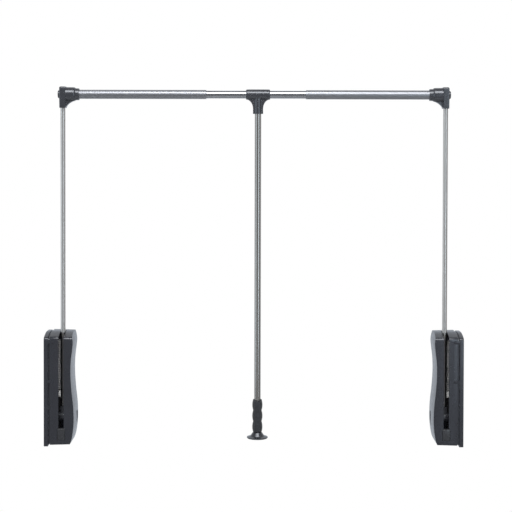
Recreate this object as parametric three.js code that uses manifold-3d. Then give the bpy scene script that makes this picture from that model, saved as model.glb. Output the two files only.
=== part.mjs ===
import * as THREE from 'three';
import { mergeVertices } from 'three/addons/utils/BufferGeometryUtils.js';
import Module from 'manifold-3d';

const wasm = await Module();
wasm.setup();

// Pull down closet rod, in millimetres: +X along the rail, -Y towards the user, +Z up.
// The origin is where the arms' pivot axis meets the left wall face.
// Each housing is drawn in a frame of its own: x from its wall face inwards, y and z from the pivot axis.

// Overall sizes
const overallWidth = 1008; // between the two wall faces, as set in the photograph
const pivotHeight = 65; // pivot axis above the foot of the mounting plate
const railHeight = 847; // rail axis above the foot of the mounting plate
const armInset = 41.5; // plane of an arm from its wall face

// Clearances
const gap = 0.3; // between pieces that slide, turn or seat on each other
const overrun = 1; // how far a cutting solid runs past the face that it opens

// Facets round a piece
const fineSides = 24;
const roundSides = 18;
const smallSides = 8;

// Housing case, heights from the foot of the mounting plate
const caseWidth = 71.7; // wall face to the fullest swell of the inner side
const caseFront = 37; // front face ahead of the pivot axis
const caseRear = 40; // rear face behind the pivot axis
const caseFoot = 6;
const caseCrown = 270.3;
const frontDrop = 10; // front top edge below the crown
const rearDrop = 3.3; // rear top edge below the crown
const caseWall = 2.5;
const caseBack = 2; // back wall of the case beyond the seam
const caseDraft = 1.5; // how far top and foot draw in by the inner side
const caseCorner = 3;
const cornerSteps = 2;
const crownShare = 0.58; // place of the crown along the depth
const cornerEaseShare = 0.25; // how far the rear top corner lies above its edge, as a share of the corner
const frontSweepShare = 0.22; // how far back the front of the crown's curve is pulled
const rearSweepShare = 0.82;
const frontSweepSteps = 5;
const rearSweepSteps = 3;
const waveShares = [ // outline of the inner side: share of the width, share of the height
  [0.865, 0], [0.925, 0.04], [0.973, 0.11], [1, 0.19], [1, 0.27], [0.985, 0.35], [0.935, 0.475],
  [0.9, 0.61], [0.906, 0.735], [0.95, 0.84], [0.974, 0.905], [0.958, 0.95], [0.925, 0.985], [0.9, 1],
];
const waveSteps = 18;

// Seam between the mounting plate and the case
const plateThickness = 10;
const seamEnd = 14.9; // the case's full outline starts here
const seamDepth = 2.2; // how far the neck in the seam is set back

// Slot for the arm, and the block that closes its foot
const slotWidth = 12.7;
const slotFoot = 43.5;
const slotRear = 17; // rear end of the slot in the top, behind the pivot axis
const stopWidth = 18.5;
const stopFoot = 16.2;
const stopDepth = 12;

// Mounting plate
const plateTopDrop = 1.5; // plate's top below the crown of the case
const plateSheet = 3; // sheet against the wall
const plateRim = 2.6;
const wallHoleRadius = 2.6;
const wallHoleSink = 5; // radius of the countersink
const wallHoleSpacing = 44; // across the depth
const lowHoleHeight = 22; // above the foot of the plate
const highHoleDrop = 34.3; // below the crown of the case
const tongueReach = 24.5; // end of a snap tongue from the wall face
const tongueHeight = 7;
const tongueThickness = 0.9;
const lowTongueHeight = 157; // middle of a tongue above the foot
const highTongueDrop = 18.3; // below the crown of the case

// Blank badge in the inner side
const badgeHeight = 33;
const badgeDepth = 21;
const badgeFront = 47; // front edge of the badge behind the front face
const badgeFoot = 43;
const badgeRecess = 1.7;
const badgeThickness = 0.5;

// Arms and rail
const armRadius = 6;
const armWall = 1;
const outerRailRadius = 11;
const railWall = 0.8;
const leftRailSeat = 16.5; // start of the outer rail tube from the arm's axis
const rightRailSeat = 7.8;
const innerRailRadius = 9.5;
const exposedRail = 240.7; // centre tube seen between the two outer tubes
const railInsertion = 159.65; // centre tube inside an outer tube, on average
const teeOffset = 4.65; // tee to the right of the middle of the exposed stretch
const glideLength = 18; // nylon glide beyond each end of the inner rail tube
const glideStub = 12; // its stub inside the tube

// Pivot
const pinRadius = 4;
const pinHeadRadius = 6;
const pinHeadThickness = 2;
const pinEndDepth = 5.7; // inner end of the pin below the fullest swell of the inner side
const bushRadius = 5.6;
const bushFlangeRadius = 8.5;
const bushFlange = 1.3;
const bushSleeve = 1.6;
const innerBushSleeve = 8;
const pivotBossRadius = 9.5;
const pivotBossRise = 1; // outer boss proud of the case's back wall

// Arm hub with its gear sector
const hubRadius = 11;
const hubReach = 7.5; // inner end of the hub beyond the arm's plane
const leverHalfDepth = 7;
const leverTop = 26;
const spigotLength = 20;
const rivetRadius = 1.8;
const rivetRise = 10; // rivet above the lever's top
const gearTeeth = 18; // in a full turn
const gearModule = 2.5;
const gearRadius = gearTeeth * gearModule / 2;
const pressureAngle = THREE.MathUtils.degToRad(20);
const toothTopShare = 0.88; // tooth height above the pitch line, as a share of the module
const toothRootShare = 1.1;
const backlash = 0.45; // taken off each tooth's thickness
const gearWidth = 12;
const teethBelow = 6; // teeth from the mesh point down the sector
const teethAbove = 1;

// Rack carriage, heights from the pivot axis
const carriageFoot = 46;
const carriageHeight = 14.6;
const carriageFront = 10; // front face behind the pivot axis
const carriageBack = 31;
const bridgeBack = 24;
const carriageClear = 1.2; // side clearance to the case walls
const rackFoot = 52; // foot of the rack below the pivot axis
const rackTeeth = 7;
const topToothShare = 0.5; // middle of the top tooth above the pivot axis, in pitches
const guideRibWidth = 2;
const guideRibTop = 112;

// Spring, guide rod, damper and their anchor, heights from the pivot axis
const springPlaceY = 20;
const springRadius = 8; // outside of the coil
const springWire = 2.2;
const springTurns = 14;
const turnSteps = 8;
const wireSides = 5;
const guideRodRadius = 4;
const guideRodFoot = 54;
const damperDepth = 16.7; // axis of the damper below the fullest swell
const damperPlaceY = 17;
const damperRadius = 6;
const damperWall = 1;
const damperFoot = 108;
const damperRodRadius = 2.5;
const damperRodSeat = 6; // depth of the rod in the carriage
const pistonThickness = 6;
const pistonReach = 12; // piston's foot above the cylinder's foot at rest
const anchorDrop = 19.3; // foot of the anchor below the crown of the case
const anchorHeight = 10;
const anchorBack = 29;
const restStopThickness = 3.3;

// Case screws along X: one under the pivot, two near the rear face
const rearScrewInset = 6; // from the rear face
const lowScrewHeight = 18; // above the foot of the plate
const middleScrewHeight = 183;
const highScrewDrop = 15.3; // below the crown of the case
const screwRadius = 1.6;
const screwHeadRadius = 3;
const screwHead = 2;
const screwEndDepth = 13.7; // inner end of a screw below the fullest swell
const screwBossRadius = 4;

// Elbow at the top of an arm, measured from the crossing of arm and rail axes
const elbowReach = 39.5; // end of the rail collar
const elbowBack = 7.2; // outer face of the upright slab that holds the arm
const elbowSlabEnd = 7.4; // its inner face
const elbowCrown = 18.4; // top of the slab
const elbowHalfDepth = 17.6; // slab beside the rail
const elbowShoulder = 5; // height where the slab starts to round over
const elbowWaist = 12; // foot of the deep part of the slab, below the rail axis
const elbowNeck = 19; // top of the shallow part
const elbowNeckHalfDepth = 12;
const crownSteps = 5; // steps to a quarter of the slab's round top
const collarRootRadius = 16.8;
const collarStepRadius = 16.2; // just before the collar steps down
const collarStepReach = 26;
const elbowCollarRadius = 14.5; // after the step
const elbowCollarReach = 31;
const elbowLipRadius = 14.2;
const elbowDrop = 33; // foot of the arm socket
const elbowWebHalfDepth = 6.8;
const elbowWebStart = 12.5; // top of the web's curve below the rail axis
const elbowWebPullReach = 13; // point that the web's curve is pulled to
const elbowWebPullDrop = 18.5;
const webSteps = 5;
const armTopDrop = 6; // top of the arm tube below the rail axis
const capRadius = 9.8;
const capThickness = 4.2;
const capEdge = 1.25; // chamfer
const capStemRadius = 3.5;
const capStemLength = 5;
const fixingRadius = 1.3; // small screws in the rear of elbow and tee
const fixingHeadRadius = 2.8;
const fixingHead = 1.4;
const armFixingDrop = 24; // screw into the arm tube, below the rail axis
const railFixingReach = 35; // screw into the rail tube, from the arm's axis

// Tee
const teeHalfLength = 29;
const teeRadius = 12.7;
const teeDrop = 46.5;
const teeSocketRadius = 9.6;
const teeFlank = 12.3; // half width of the web beside the socket
const teeWebReach = 24.5;
const teeWebDrop = 27;
const teeWebHalfDepth = 5.5;
const teeWebPull = 1; // how far below the sleeve the web's curve is pulled
const teeFixingReach = 21;

// Pull rod, grip and foot, heights from the foot of the mounting plate
const pullRadius = 8;
const pullWall = 0.9;
const pullTopDrop = 14; // top of the pull rod below the rail axis
const pullFoot = 22;
const gripTop = 108;
const gripFoot = 28.2;
const gripLobeRadius = 12.4;
const gripWaistRadius = 10.9;
const gripLobes = 3;
const gripEndRadius = 10.3;
const gripSteps = 5; // outline steps to a lobe
const footRimRadius = 25.4;
const footRimTop = 17.6;
const footBottom = 14;
const footNeckRadius = 10.8;
const footDome = 1.2; // how far the underside is hollowed
const footEdge = 1;
const undersideShares = [[0.5, 0.7], [0.86, 0]]; // share of the rim's radius, share of the hollow
const footPullRadius = 12.5; // point that the flare's curve is pulled to
const footPullHeight = 19;
const flareSteps = 6;

// Finishes
const finishes = {
  casePlastic: { color: 0x3a3b3f, roughness: 0.38, metalness: 0 },
  jointPlastic: { color: 0x333539, roughness: 0.42, metalness: 0 },
  blackRubber: { color: 0x2c2c2d, roughness: 0.72, metalness: 0 },
  stopRubber: { color: 0x38383b, roughness: 0.6, metalness: 0 },
  armSteel: { color: 0x98979a, roughness: 0.34, metalness: 1 },
  railSteel: { color: 0xa2a1a0, roughness: 0.22, metalness: 1 },
  rodChrome: { color: 0xb4b3b1, roughness: 0.16, metalness: 1 },
  springSteel: { color: 0x8f9194, roughness: 0.35, metalness: 1 },
  plainSteel: { color: 0x8a8b8d, roughness: 0.4, metalness: 1 },
  nylon: { color: 0xe4e3df, roughness: 0.5, metalness: 0 },
  footPlastic: { color: 0x2e2f31, roughness: 0.4, metalness: 0 },
};

// Places worked out from the sizes
const railRise = railHeight - pivotHeight;
const rackPitch = Math.PI * gearModule;
const toothTop = gearModule * toothTopShare;
const toothRoot = gearModule * toothRootShare;
const chamberStart = seamEnd + caseBack;
const hubInnerEnd = armInset + hubReach;
const pinEnd = caseWidth - pinEndDepth;
const screwEnd = caseWidth - screwEndDepth;
const springPlaceX = chamberStart + springRadius + gap;
const damperPlaceX = caseWidth - damperDepth;
const carriageTop = carriageFoot + carriageHeight;
const hubStart = chamberStart + pivotBossRise + bushFlange + 2 * gap;
const innerBossStart = hubInnerEnd + bushFlange + 2 * gap;
const narrowest = caseWidth * Math.min(...waveShares.map(([across]) => across));
const anchorSpan = [chamberStart + gap, narrowest - caseWall - gap];
const armSpan = overallWidth - 2 * armInset;
const outerRailLength = (armSpan - leftRailSeat - rightRailSeat - exposedRail) / 2;
const innerRailLength = exposedRail + 2 * railInsertion;
const teePlace = leftRailSeat + outerRailLength + exposedRail / 2 + teeOffset; // from the left arm
const up = (height) => height - pivotHeight;
const anchorFoot = up(caseCrown) - anchorDrop;
const tongueHeights = [lowTongueHeight, caseCrown - highTongueDrop];
const rearScrews = caseRear - rearScrewInset;
const highScrewHeight = caseCrown - highScrewDrop;
const screwPlaces = [
  [0, up(lowScrewHeight)], [rearScrews, up(middleScrewHeight)], [rearScrews, up(highScrewHeight)],
];

// Welds a geometry into one closed skin whose faces point out
function closed(geometry) {
  const bare = new THREE.BufferGeometry();
  bare.setAttribute('position', geometry.getAttribute('position'));
  if (geometry.index) bare.setIndex(geometry.index);
  const welded = mergeVertices(bare);
  const corners = welded.index.array;
  const faces = [];
  for (let i = 0; i < corners.length; i += 3) {
    const [a, b, c] = [corners[i], corners[i + 1], corners[i + 2]];
    if (a !== b && b !== c && c !== a) faces.push([a, b, c]);
  }
  const place = welded.getAttribute('position');
  const point = (index) => new THREE.Vector3().fromBufferAttribute(place, index);
  let volume = 0;
  for (const [a, b, c] of faces) volume += point(a).dot(point(b).cross(point(c)));
  welded.setIndex(faces.flatMap(([a, b, c]) => (volume < 0 ? [a, c, b] : [a, b, c])));
  return welded;
}

function solid(geometry) {
  const skin = closed(geometry);
  return new wasm.Manifold(new wasm.Mesh({
    numProp: 3,
    vertProperties: new Float32Array(skin.getAttribute('position').array),
    triVerts: new Uint32Array(skin.index.array),
  }));
}

function geometryOf(manifold) {
  const mesh = manifold.getMesh();
  const geometry = new THREE.BufferGeometry();
  geometry.setAttribute('position', new THREE.BufferAttribute(new Float32Array(mesh.vertProperties), 3));
  geometry.setIndex(Array.from(mesh.triVerts));
  return geometry;
}

const join = (first, ...others) => others.reduce((sum, next) => sum.add(next), first);
const cut = (first, ...others) => others.reduce((rest, next) => rest.subtract(next), first);

function block([x0, x1], [y0, y1], [z0, z1]) {
  const box = new THREE.BoxGeometry(x1 - x0, y1 - y0, z1 - z0);
  return solid(box.translate((x0 + x1) / 2, (y0 + y1) / 2, (z0 + z1) / 2));
}

const middlePoint = [0, 0, 0];

// Turns a profile of [radius, place along the axis] about a line along x, y or z
function turned(axis, profile, [x, y, z] = middlePoint, sides = roundSides) {
  const points = profile.map(([radius, along]) => new THREE.Vector2(radius, along));
  const lathe = new THREE.LatheGeometry(points, sides);
  if (axis === 'x') lathe.rotateZ(-Math.PI / 2);
  if (axis === 'z') lathe.rotateX(Math.PI / 2);
  return solid(lathe.translate(x, y, z));
}

const bar = (axis, radius, [from, to], centre, sides) =>
  turned(axis, [[0, from], [radius, from], [radius, to], [0, to]], centre, sides);

const tube = (axis, outer, inner, [from, to], centre, sides) =>
  turned(axis, [[inner, from], [outer, from], [outer, to], [inner, to], [inner, from]], centre, sides);

// Extrudes an outline: in y and z along x, in x and z along y, or in x and y along z
function prismGeometry(axis, outline, [from, to]) {
  const shape = new THREE.Shape(outline.map(([a, b]) => new THREE.Vector2(a, b)));
  const prism = new THREE.ExtrudeGeometry(shape, { depth: to - from, bevelEnabled: false });
  if (axis === 'x') {
    const turn = new THREE.Matrix4().makeBasis(
      new THREE.Vector3(0, 1, 0), new THREE.Vector3(0, 0, 1), new THREE.Vector3(1, 0, 0));
    return prism.applyMatrix4(turn).translate(from, 0, 0);
  }
  if (axis === 'y') return prism.rotateX(Math.PI / 2).translate(0, to, 0);
  return prism.translate(0, 0, from);
}

const prism = (axis, outline, span) => solid(prismGeometry(axis, outline, span));

// Points of a curve pulled from start to end by one control point, without its start
function pulled(start, pull, end, steps) {
  const [a, b, c] = [start, pull, end].map(([x, y]) => new THREE.Vector2(x, y));
  return new THREE.QuadraticBezierCurve(a, b, c).getPoints(steps).slice(1).map((p) => [p.x, p.y]);
}

// Outline of the case or plate from the side, in y and z
function sideOutline(foot, crown, inset) {
  const front = -caseFront + inset;
  const rear = caseRear - inset;
  const depth = caseFront + caseRear;
  const [low, high] = [up(foot) + inset, up(crown) - inset];
  const corner = Math.max(caseCorner - inset, gap);
  const peak = [crownShare * depth - caseFront, high];
  const frontTop = [front, high - frontDrop];
  const rearTop = [rear, high - rearDrop];
  const rearEase = [rear - corner, rearTop[1] + corner * cornerEaseShare];
  return [
    [front, low + corner], ...pulled([front, low + corner], [front, low], [front + corner, low], cornerSteps),
    [rear - corner, low], ...pulled([rear - corner, low], [rear, low], [rear, low + corner], cornerSteps),
    [rear, rearTop[1] - corner], ...pulled([rear, rearTop[1] - corner], rearTop, rearEase, cornerSteps),
    ...pulled(rearEase, [rearSweepShare * depth - caseFront, high], peak, rearSweepSteps),
    ...pulled(peak, [frontSweepShare * depth - caseFront, high], frontTop, frontSweepSteps),
  ];
}

// Prism across the case whose top and foot draw in towards the inner side
function draftedPrism(inset, [from, to]) {
  const geometry = prismGeometry('x', sideOutline(caseFoot, caseCrown, inset), [from, to]);
  const place = geometry.getAttribute('position');
  const middle = up((caseFoot + caseCrown) / 2);
  const half = (caseCrown - caseFoot) / 2;
  for (let i = 0; i < place.count; i += 1) {
    const draft = caseDraft * (place.getX(i) - seamEnd) / (caseWidth - seamEnd);
    place.setZ(i, middle + (place.getZ(i) - middle) * (1 - draft / half));
  }
  return solid(geometry);
}

// Prism from front to rear bounded by the waved inner side, set in by a wall
function waveBound(inset, start) {
  const height = caseCrown - caseFoot;
  const knots = waveShares.map(([across, along]) =>
    new THREE.Vector2(across * caseWidth - inset, up(caseFoot + along * height)));
  const wave = new THREE.SplineCurve(knots).getPoints(waveSteps).map((p) => [p.x, p.y]);
  const [low, high] = [up(caseFoot) - overrun, up(caseCrown) + overrun];
  const outline = [[start, low], [wave[0][0], low], ...wave, [wave[wave.length - 1][0], high], [start, high]];
  return prism('y', outline, [-caseFront - overrun, caseRear + overrun]);
}

// Whole case with its chamber, slot and stop window, before it is split into two shells
function caseBody() {
  const full = draftedPrism(0, [seamEnd, caseWidth + overrun]).intersect(waveBound(0, seamEnd - overrun));
  const neck = prism('x', sideOutline(caseFoot, caseCrown - plateTopDrop, seamDepth),
    [plateThickness + gap, seamEnd + overrun]);
  const chamber = draftedPrism(caseWall, [chamberStart, caseWidth]).intersect(waveBound(caseWall, 0));
  const slot = block([armInset - slotWidth / 2, armInset + slotWidth / 2],
    [-caseFront - overrun, slotRear], [up(slotFoot), up(caseCrown) + overrun]);
  const window = block([armInset - stopWidth / 2 - gap, armInset + stopWidth / 2 + gap],
    [-caseFront - overrun, -caseFront + caseWall + overrun], [up(stopFoot) - gap, up(slotFoot)]);
  return cut(join(full, neck), chamber, slot, window);
}

const wholeCase = caseBody();
const halfSpace = (from, to) =>
  block([from, to], [-caseFront - overrun, caseRear + overrun], [up(0), up(caseCrown) + overrun]);

// Fills, inside the case only, what a boss or rib adds to a shell
const insideCase = draftedPrism(overrun, [seamEnd, caseWidth + overrun])
  .intersect(waveBound(overrun, seamEnd - overrun));

function screwCuts() {
  const bores = screwPlaces.map(([y, z]) =>
    bar('x', screwRadius + gap, [0, screwEnd + gap], [0, y, z], smallSides));
  const sinks = screwPlaces.map(([y, z]) =>
    bar('x', screwHeadRadius + gap, [0, plateThickness + screwHead + 2 * gap], [0, y, z], smallSides));
  return [...bores, ...sinks];
}

const screwBosses = (from, to) =>
  screwPlaces.map(([y, z]) => bar('x', screwBossRadius, [from, to], [0, y, z], smallSides));

function outerShell() {
  const split = armInset - gap / 2;
  const tongueCuts = tongueHeights.flatMap((height) => [
    [-caseFront - overrun, -caseFront + tongueThickness + gap],
    [caseRear - tongueThickness - gap, caseRear + overrun],
  ].map((depth) => block([seamEnd - overrun, tongueReach + gap], depth,
    [up(height - tongueHeight / 2) - gap, up(height + tongueHeight / 2) + gap])));
  const pivotBoss = bar('x', pivotBossRadius, [chamberStart, chamberStart + pivotBossRise], [0, 0, 0]);
  const [rackLeft, rackRight] = rackSpan();
  const ribs = [rackLeft, rackRight - guideRibWidth].map((x) => block([x, x + guideRibWidth],
    [carriageBack + gap, caseRear - overrun], [up(caseFoot) + overrun, guideRibTop]));
  const added = join(pivotBoss, ...ribs, ...screwBosses(seamEnd, split)).intersect(insideCase);
  const shell = join(wholeCase.intersect(halfSpace(0, split)), added);
  const pinBore = bar('x', pinRadius + gap, [0, armInset], [0, 0, 0]);
  const pinSink = bar('x', pinHeadRadius + gap, [0, plateThickness + 2 * gap + pinHeadThickness], [0, 0, 0]);
  const bushSeat = bar('x', bushRadius + gap,
    [chamberStart + pivotBossRise - bushSleeve - gap, armInset], [0, 0, 0]);
  return cut(shell, pinBore, pinSink, bushSeat, ...tongueCuts, ...screwCuts());
}

function innerShell() {
  const split = armInset + gap / 2;
  const pivotBoss = bar('x', pivotBossRadius, [innerBossStart, caseWidth], [0, 0, 0]);
  const added = join(pivotBoss, ...screwBosses(split, caseWidth)).intersect(insideCase);
  const shell = join(wholeCase.intersect(halfSpace(split, caseWidth + overrun)), added);
  const pinBore = bar('x', pinRadius + gap, [armInset, pinEnd + gap], [0, 0, 0]);
  const bushSeat = bar('x', bushRadius + gap, [armInset, innerBossStart + innerBushSleeve + gap], [0, 0, 0]);
  const badgeSeat = block([caseWidth - badgeRecess, caseWidth + overrun],
    [-caseFront + badgeFront, -caseFront + badgeFront + badgeDepth],
    [up(badgeFoot), up(badgeFoot + badgeHeight)]);
  return cut(shell, pinBore, bushSeat, badgeSeat, ...screwCuts());
}

function badgeBlank() {
  const floor = caseWidth - badgeRecess + gap;
  return block([floor, floor + badgeThickness],
    [-caseFront + badgeFront + gap, -caseFront + badgeFront + badgeDepth - gap],
    [up(badgeFoot) + gap, up(badgeFoot + badgeHeight) - gap]);
}

const stopBlock = () => block([armInset - stopWidth / 2, armInset + stopWidth / 2],
  [-caseFront, -caseFront + stopDepth], [up(stopFoot), up(slotFoot)]);

function mountingPlate() {
  const outline = sideOutline(0, caseCrown - plateTopDrop, 0);
  const tray = prism('x', outline, [0, plateThickness]);
  const hollow = prism('x', sideOutline(0, caseCrown - plateTopDrop, plateRim),
    [plateSheet, plateThickness + overrun]);
  const wallHoles = [-wallHoleSpacing / 2, wallHoleSpacing / 2].flatMap((y) =>
    [lowHoleHeight, caseCrown - highHoleDrop].map((height) => turned('x', [
      [0, -overrun], [wallHoleRadius, -overrun], [wallHoleRadius, 0],
      [wallHoleSink, plateSheet], [wallHoleSink, plateSheet + overrun], [0, plateSheet + overrun],
    ], [0, y, up(height)], smallSides)));
  const tongues = tongueHeights.flatMap((height) => [
    [-caseFront, -caseFront + tongueThickness], [caseRear - tongueThickness, caseRear],
  ].map((depth) => block([plateThickness - overrun, tongueReach], depth,
    [up(height - tongueHeight / 2), up(height + tongueHeight / 2)])));
  return join(cut(tray, hollow, ...wallHoles), ...tongues);
}

const caseScrew = ([y, z]) => turned('x', [
  [0, plateThickness + gap], [screwHeadRadius, plateThickness + gap],
  [screwHeadRadius, plateThickness + gap + screwHead], [screwRadius, plateThickness + gap + screwHead],
  [screwRadius, screwEnd], [0, screwEnd],
], [0, y, z], smallSides);

function pivotPin() {
  const start = plateThickness + gap;
  return turned('x', [[0, start], [pinHeadRadius, start], [pinHeadRadius, start + pinHeadThickness],
    [pinRadius, start + pinHeadThickness], [pinRadius, pinEnd], [0, pinEnd]]);
}

function outerPivotBush() {
  const bore = pinRadius + gap;
  const face = chamberStart + pivotBossRise + gap;
  return turned('x', [[bore, face - bushSleeve], [bushRadius, face - bushSleeve], [bushRadius, face],
    [bushFlangeRadius, face], [bushFlangeRadius, face + bushFlange], [bore, face + bushFlange],
    [bore, face - bushSleeve]]);
}

function innerPivotBush() {
  const bore = pinRadius + gap;
  const face = innerBossStart - gap;
  const end = face + innerBushSleeve;
  return turned('x', [[bore, face - bushFlange], [bushFlangeRadius, face - bushFlange],
    [bushFlangeRadius, face], [bushRadius, face], [bushRadius, end], [bore, end], [bore, face - bushFlange]]);
}

// Involute flank: half the angle that a tooth takes up at a radius
function toothHalfAngle(radius) {
  const base = gearRadius * Math.cos(pressureAngle);
  const involute = (angle) => Math.tan(angle) - angle;
  const here = involute(Math.acos(Math.min(1, base / radius)));
  return Math.PI / (2 * gearTeeth) - backlash / (2 * gearRadius) + involute(pressureAngle) - here;
}

const gearSpan = () => [hubStart, hubStart + gearWidth];
const rackSpan = () => [gearSpan()[0] + gap, gearSpan()[1] - gap];

function gearSector() {
  const pitchAngle = 2 * Math.PI / gearTeeth;
  const [root, tip] = [gearRadius - toothRoot, gearRadius + toothTop];
  const radii = [root, (root + gearRadius) / 2, gearRadius, (gearRadius + tip) / 2, tip];
  const at = (radius, angle) => [radius * Math.cos(angle), radius * Math.sin(angle)];
  const outline = [];
  for (let tooth = -teethBelow; tooth <= teethAbove; tooth += 1) {
    const middle = tooth * pitchAngle;
    radii.forEach((radius) => outline.push(at(radius, middle - toothHalfAngle(radius))));
    [...radii].reverse().forEach((radius) => outline.push(at(radius, middle + toothHalfAngle(radius))));
  }
  outline.push([0, 0]);
  return prism('x', outline, gearSpan());
}

function armHub() {
  const boss = bar('x', hubRadius, [hubStart, hubInnerEnd]);
  const halfLever = armRadius - gap;
  const lever = block([armInset - halfLever, armInset + halfLever],
    [-leverHalfDepth, leverHalfDepth], [0, leverTop]);
  const spigotSpan = [leverTop - overrun, leverTop + spigotLength];
  const spigot = bar('z', armRadius - armWall - gap, spigotSpan, [armInset, 0, 0]);
  const bore = bar('x', pinRadius + gap, [0, pinEnd]);
  return cut(join(boss, gearSector(), lever, spigot), bore, rivetBore());
}

const rivetPlace = [armInset, 0, leverTop + rivetRise];
const rivetBore = () => bar('y', rivetRadius + gap, [-armRadius - overrun, armRadius + overrun],
  rivetPlace, smallSides);
const armRivet = () => bar('y', rivetRadius, [-armRadius, armRadius], rivetPlace, smallSides);

function armTube() {
  const span = [leverTop + gap, railRise - armTopDrop];
  const fixingPlace = [armInset, 0, railRise - armFixingDrop];
  const fixingHole = bar('y', fixingRadius + gap, [0, armRadius + overrun], fixingPlace, smallSides);
  return cut(tube('z', armRadius, armRadius - armWall, span, [armInset, 0, 0]), rivetBore(), fixingHole);
}

// Carriage: a block that carries the spring, a leg with the rack, and a bridge to the damper
function rackCarriage() {
  const [rackLeft, rackRight] = rackSpan();
  const heights = [carriageFoot, carriageTop];
  const main = block([chamberStart + carriageClear, armInset - armRadius - carriageClear],
    [carriageFront, carriageBack], heights);
  const bridge = block([armInset - armRadius - 2 * carriageClear, anchorSpan[1] - carriageClear],
    [carriageFront, bridgeBack], heights);
  const leg = block([rackLeft, rackRight], [gearRadius + toothRoot, carriageBack],
    [-rackFoot, carriageFoot + overrun]);
  const guide = bar('z', guideRodRadius + gap, [carriageFoot - overrun, carriageTop + overrun],
    [springPlaceX, springPlaceY, 0]);
  const rodSeat = bar('z', damperRodRadius + gap, [carriageTop - damperRodSeat - gap, carriageTop + overrun],
    [damperPlaceX, damperPlaceY, 0], smallSides);
  return cut(join(main, bridge, leg, ...rackToothSolids()), guide, rodSeat);
}

// Rack teeth face the gear; a space of the rack lies level with the pivot axis
function rackToothSolids() {
  const lean = Math.tan(pressureAngle);
  const halfTooth = rackPitch / 4 - backlash / 2;
  const teeth = [];
  for (let tooth = 0; tooth < rackTeeth; tooth += 1) {
    const middle = (topToothShare - tooth) * rackPitch;
    const root = halfTooth + toothRoot * lean;
    const tip = halfTooth - toothTop * lean;
    const [tipY, rootY] = [gearRadius - toothTop, gearRadius + toothRoot + overrun];
    teeth.push(prism('x', [[tipY, middle - tip], [tipY, middle + tip],
      [rootY, middle + root + overrun * lean], [rootY, middle - root - overrun * lean]], rackSpan()));
  }
  return teeth;
}

// Coil spring between the carriage and the anchor, as one unbroken wire
function springRoute() {
  const coil = springRadius - springWire / 2;
  const [low, high] = [carriageTop + gap + springWire / 2, anchorFoot - gap - springWire / 2];
  const steps = springTurns * turnSteps;
  return Array.from({ length: steps + 1 }, (_, i) => {
    const angle = 2 * Math.PI * i / turnSteps;
    return new THREE.Vector3(coil * Math.cos(angle), coil * Math.sin(angle), low + (high - low) * i / steps);
  });
}

// Sweeps a round wire along points, each ring square to the axis of the coil's tangent
function wireGeometry(route, radius, sides) {
  const place = [];
  const faces = [];
  const axis = new THREE.Vector3(0, 0, 1);
  route.forEach((point, i) => {
    const before = route[Math.max(i - 1, 0)];
    const after = route[Math.min(i + 1, route.length - 1)];
    const ahead = after.clone().sub(before).normalize();
    const side = new THREE.Vector3().crossVectors(ahead, axis).normalize();
    const lift = new THREE.Vector3().crossVectors(side, ahead);
    for (let k = 0; k < sides; k += 1) {
      const turn = 2 * Math.PI * k / sides;
      const across = side.clone().multiplyScalar(radius * Math.cos(turn));
      const rim = point.clone().add(across).addScaledVector(lift, radius * Math.sin(turn));
      place.push(rim.x, rim.y, rim.z);
    }
  });
  const ring = (i, k) => i * sides + (k % sides);
  for (let i = 0; i < route.length - 1; i += 1) {
    for (let k = 0; k < sides; k += 1) {
      faces.push(ring(i, k), ring(i, k + 1), ring(i + 1, k + 1));
      faces.push(ring(i, k), ring(i + 1, k + 1), ring(i + 1, k));
    }
  }
  for (let k = 1; k < sides - 1; k += 1) {
    faces.push(0, k + 1, k);
    faces.push(ring(route.length - 1, 0), ring(route.length - 1, k), ring(route.length - 1, k + 1));
  }
  const geometry = new THREE.BufferGeometry();
  geometry.setAttribute('position', new THREE.Float32BufferAttribute(place, 3));
  geometry.setIndex(faces);
  return geometry;
}

// Least gap between turns, measured on the points of the route
function leastTurnGap(route) {
  let least = Infinity;
  route.forEach((point, i) => {
    const later = route.slice(i + turnSteps - 1);
    later.forEach((other) => { least = Math.min(least, point.distanceTo(other)); });
  });
  return least - springWire;
}

function liftSpring() {
  const route = springRoute();
  console.log(`lift spring: least gap between turns ${leastTurnGap(route).toFixed(2)} mm`);
  return solid(wireGeometry(route, springWire / 2, wireSides).translate(springPlaceX, springPlaceY, 0));
}

const guideRod = () => bar('z', guideRodRadius, [guideRodFoot, anchorFoot + anchorHeight - gap],
  [springPlaceX, springPlaceY, 0]);

function springAnchor() {
  const body = block(anchorSpan, [carriageFront, anchorBack], [anchorFoot, anchorFoot + anchorHeight]);
  const rodSeat = bar('z', guideRodRadius + gap, [anchorFoot - overrun, anchorFoot + anchorHeight + overrun],
    [springPlaceX, springPlaceY, 0]);
  return cut(body, rodSeat);
}

const restStop = () => block([armInset - armRadius, armInset + armRadius],
  [carriageFront - gap - restStopThickness, carriageFront - gap], [anchorFoot, anchorFoot + anchorHeight]);

function damperCylinder() {
  const bore = damperRadius - damperWall;
  const hole = damperRodRadius + gap;
  const [foot, top] = [damperFoot, anchorFoot - gap];
  const [innerFoot, innerTop] = [foot + 2 * damperWall, top - 2 * damperWall];
  return turned('z', [[hole, foot], [damperRadius, foot], [damperRadius, top], [0, top], [0, innerTop],
    [bore, innerTop], [bore, innerFoot], [hole, innerFoot], [hole, foot]],
  [damperPlaceX, damperPlaceY, 0], smallSides);
}

function damperRod() {
  const foot = carriageTop - damperRodSeat;
  const piston = damperFoot + pistonReach;
  const pistonRadius = damperRadius - damperWall - gap;
  return turned('z', [[0, foot], [damperRodRadius, foot], [damperRodRadius, piston], [pistonRadius, piston],
    [pistonRadius, piston + pistonThickness], [0, piston + pistonThickness]],
  [damperPlaceX, damperPlaceY, 0], smallSides);
}

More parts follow.
